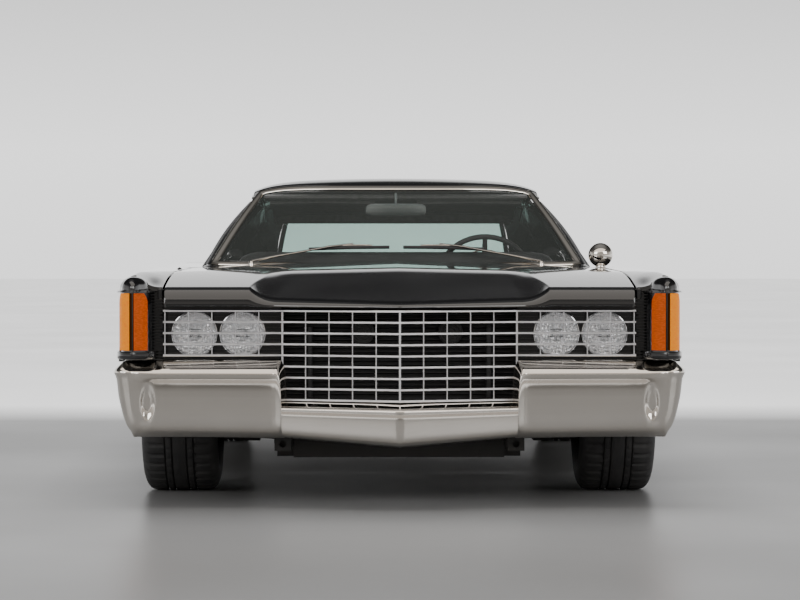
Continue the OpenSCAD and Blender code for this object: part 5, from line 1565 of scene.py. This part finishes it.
bt = [revolve([(0.5, 8), (5, 7.5), (7, 4), (7, 0), (0.5, 0)], (sx * 288, u, 646), "z", 6) for sx in (1, -1) for u in (715, 880, 1060, 1225)]
bt += [revolve([(0.5, 22), (16, 21), (22, 16), (23, 6), (20, 0), (0.5, 0)], (-238, 780, 698), "z", 32)]
V, F = join(bt)
make("cover_bolts_and_filler_cap", V, F, CHROME, "chassis", (), angle=35)
V, F = join([revolve([(0.6, 58), (16, 57), (20, 48), (34, 44), (41, 34), (43, 12), (46, 10), (46, 0), (0.6, 0)], (0, 735, 714), "z", 40)]
            + [revolve([(0.5, 16), (6, 15), (8, 0), (0.5, 0)], (30 * math.cos(a), 735 + 30 * math.sin(a), 754), "z", 14) for a in np.linspace(0, 2 * math.pi, 9)[:-1]])
make("distributor", V, F, VINYL, "chassis", (), angle=40)
fb = [revolve([(0.6, -16), (40, -14), (52, -8), (56, 4), (56, 40), (0.6, 40)], (0, 600, 470), "y", 40)]
for k in range(7):
    a = 2 * math.pi * k / 7
    e, t = np.array([math.cos(a), math.sin(a)]), np.array([-math.sin(a), math.cos(a)])
    rr = []
    for r, w, tw in ((50, 26, 0.75), (100, 40, 0.6), (160, 46, 0.5), (196, 44, 0.45), (202, 36, 0.45)):
        q = []
        for c, d in ((-w, -1.3), (w, -1.3), (w, 1.3), (-w, 1.3)):
            b = e * r + t * (c * math.cos(tw) - d * math.sin(tw))
            q.append((b[0], 604 + c * math.sin(tw) * 0.6 + d * math.cos(tw), 470 + b[1]))
        rr.append(q)
    fb.append(loft(rr))
fb.append(revolve([(212, -26), (226, -30), (228, -26), (217, -20), (216, 22), (212, 22)], (0, 580, 470), "y", 72, True))
V, F = join(fb)
make("cooling_fan", V, F, UNDER, "chassis", (), angle=35)
V, F = revolve([(0.6, 17), (12, 16.5), (20, 14), (30, 13), (31, 8), (24, 6), (22, -1), (0.6, -1)], (-170, 508, 700), "z", 36)
make("radiator_cap", V, F, CHROME, "chassis", (), angle=35)
rs = [box_geo(-452, 452, 359, 466, 690, 697, 2)] + [box_geo(x - 26, x + 26, 376, 450, 696, 702, 3) for x in (-370, -260, -150, 150, 260, 370)] + [box_geo(-44, 44, 380, 446, 696, 716, 4)]
V, F = join(rs)
make("radiator_support", V, F, PAINT, "chassis", (), angle=30)
bx = [box_geo(-446, -306, 590, 800, 545, 706, 6), box_geo(-448, -304, 586, 804, 700, 714, 5), box_geo(-453, -298, 580, 812, 536, 548, 3)]
bx += [revolve([(0.5, 9), (9, 8.5), (12, 6), (12, 0), (0.5, 0)], (-376, u, 713), "z", 20) for u in np.linspace(622, 768, 6)]
V, F = join(bx)
make("battery", V, F, VINYL, "chassis", (), angle=30)
tm = [revolve([(0.5, 18), (7, 17), (9, 12), (13, 10), (14, 0), (0.5, 0)], (-330, u, 713), "z", 20) for u in (614, 776)]
tm += [box_geo(-450, -302, 694, 702, 714, 719, 1.5)]
V, F = join(tm)
make("battery_terminals", V, F, BRIGHT, "chassis", (), angle=40)
bo_ = [revolve([(0.6, -62), (36, -60), (70, -46), (96, -22), (104, -8), (107, -6), (107, 4), (104, 6), (96, 24), (60, 52), (30, 60), (0.6, 60)], (330, 1846, 655), "y", 64),
       revolve([(0.6, -170), (22, -168), (26, -160), (26, -62), (34, -58), (0.6, -50)], (330, 1846, 655), "y", 40)]
V, F = join(bo_)
make("brake_booster", V, F, BLACK, "chassis", (), angle=35)
V, F = join([box_geo(302, 358, 1682, 1782, 676, 716, 6), box_geo(299, 361, 1679, 1785, 714, 724, 4), tube([(330, 1690, 727), (330, 1774, 727)], 3, 10)])
make("brake_reservoir", V, F, IRON, "chassis", (), angle=35)

# ---------------------------------------------------------------- finish
kit = {"dark_metal": UNDER, "engine_iron": IRON, "pipe": PIPE, "lamp_black": BLACK, "clear_lens": LENS, "amber_lens": AMBER, "red_lens": RED,
       "tinted_glass": GLASS, "seat_leather": LEATHER, "trim_plastic": VINYL, "tyre": RUBBER, "alloy": ALLOY, "paint": PAINT, "chrome": CHROME}
slots = {s["node"]: s["material_slot"] for s in frame["record"]["subparts"]}
for n, o in frame["nodes"].items():
    mt = kit.get(slots.get(n))
    if mt is None:
        continue
    if not o.material_slots:
        o.data.materials.append(mt)
    for ms in o.material_slots:
        ms.material = mt
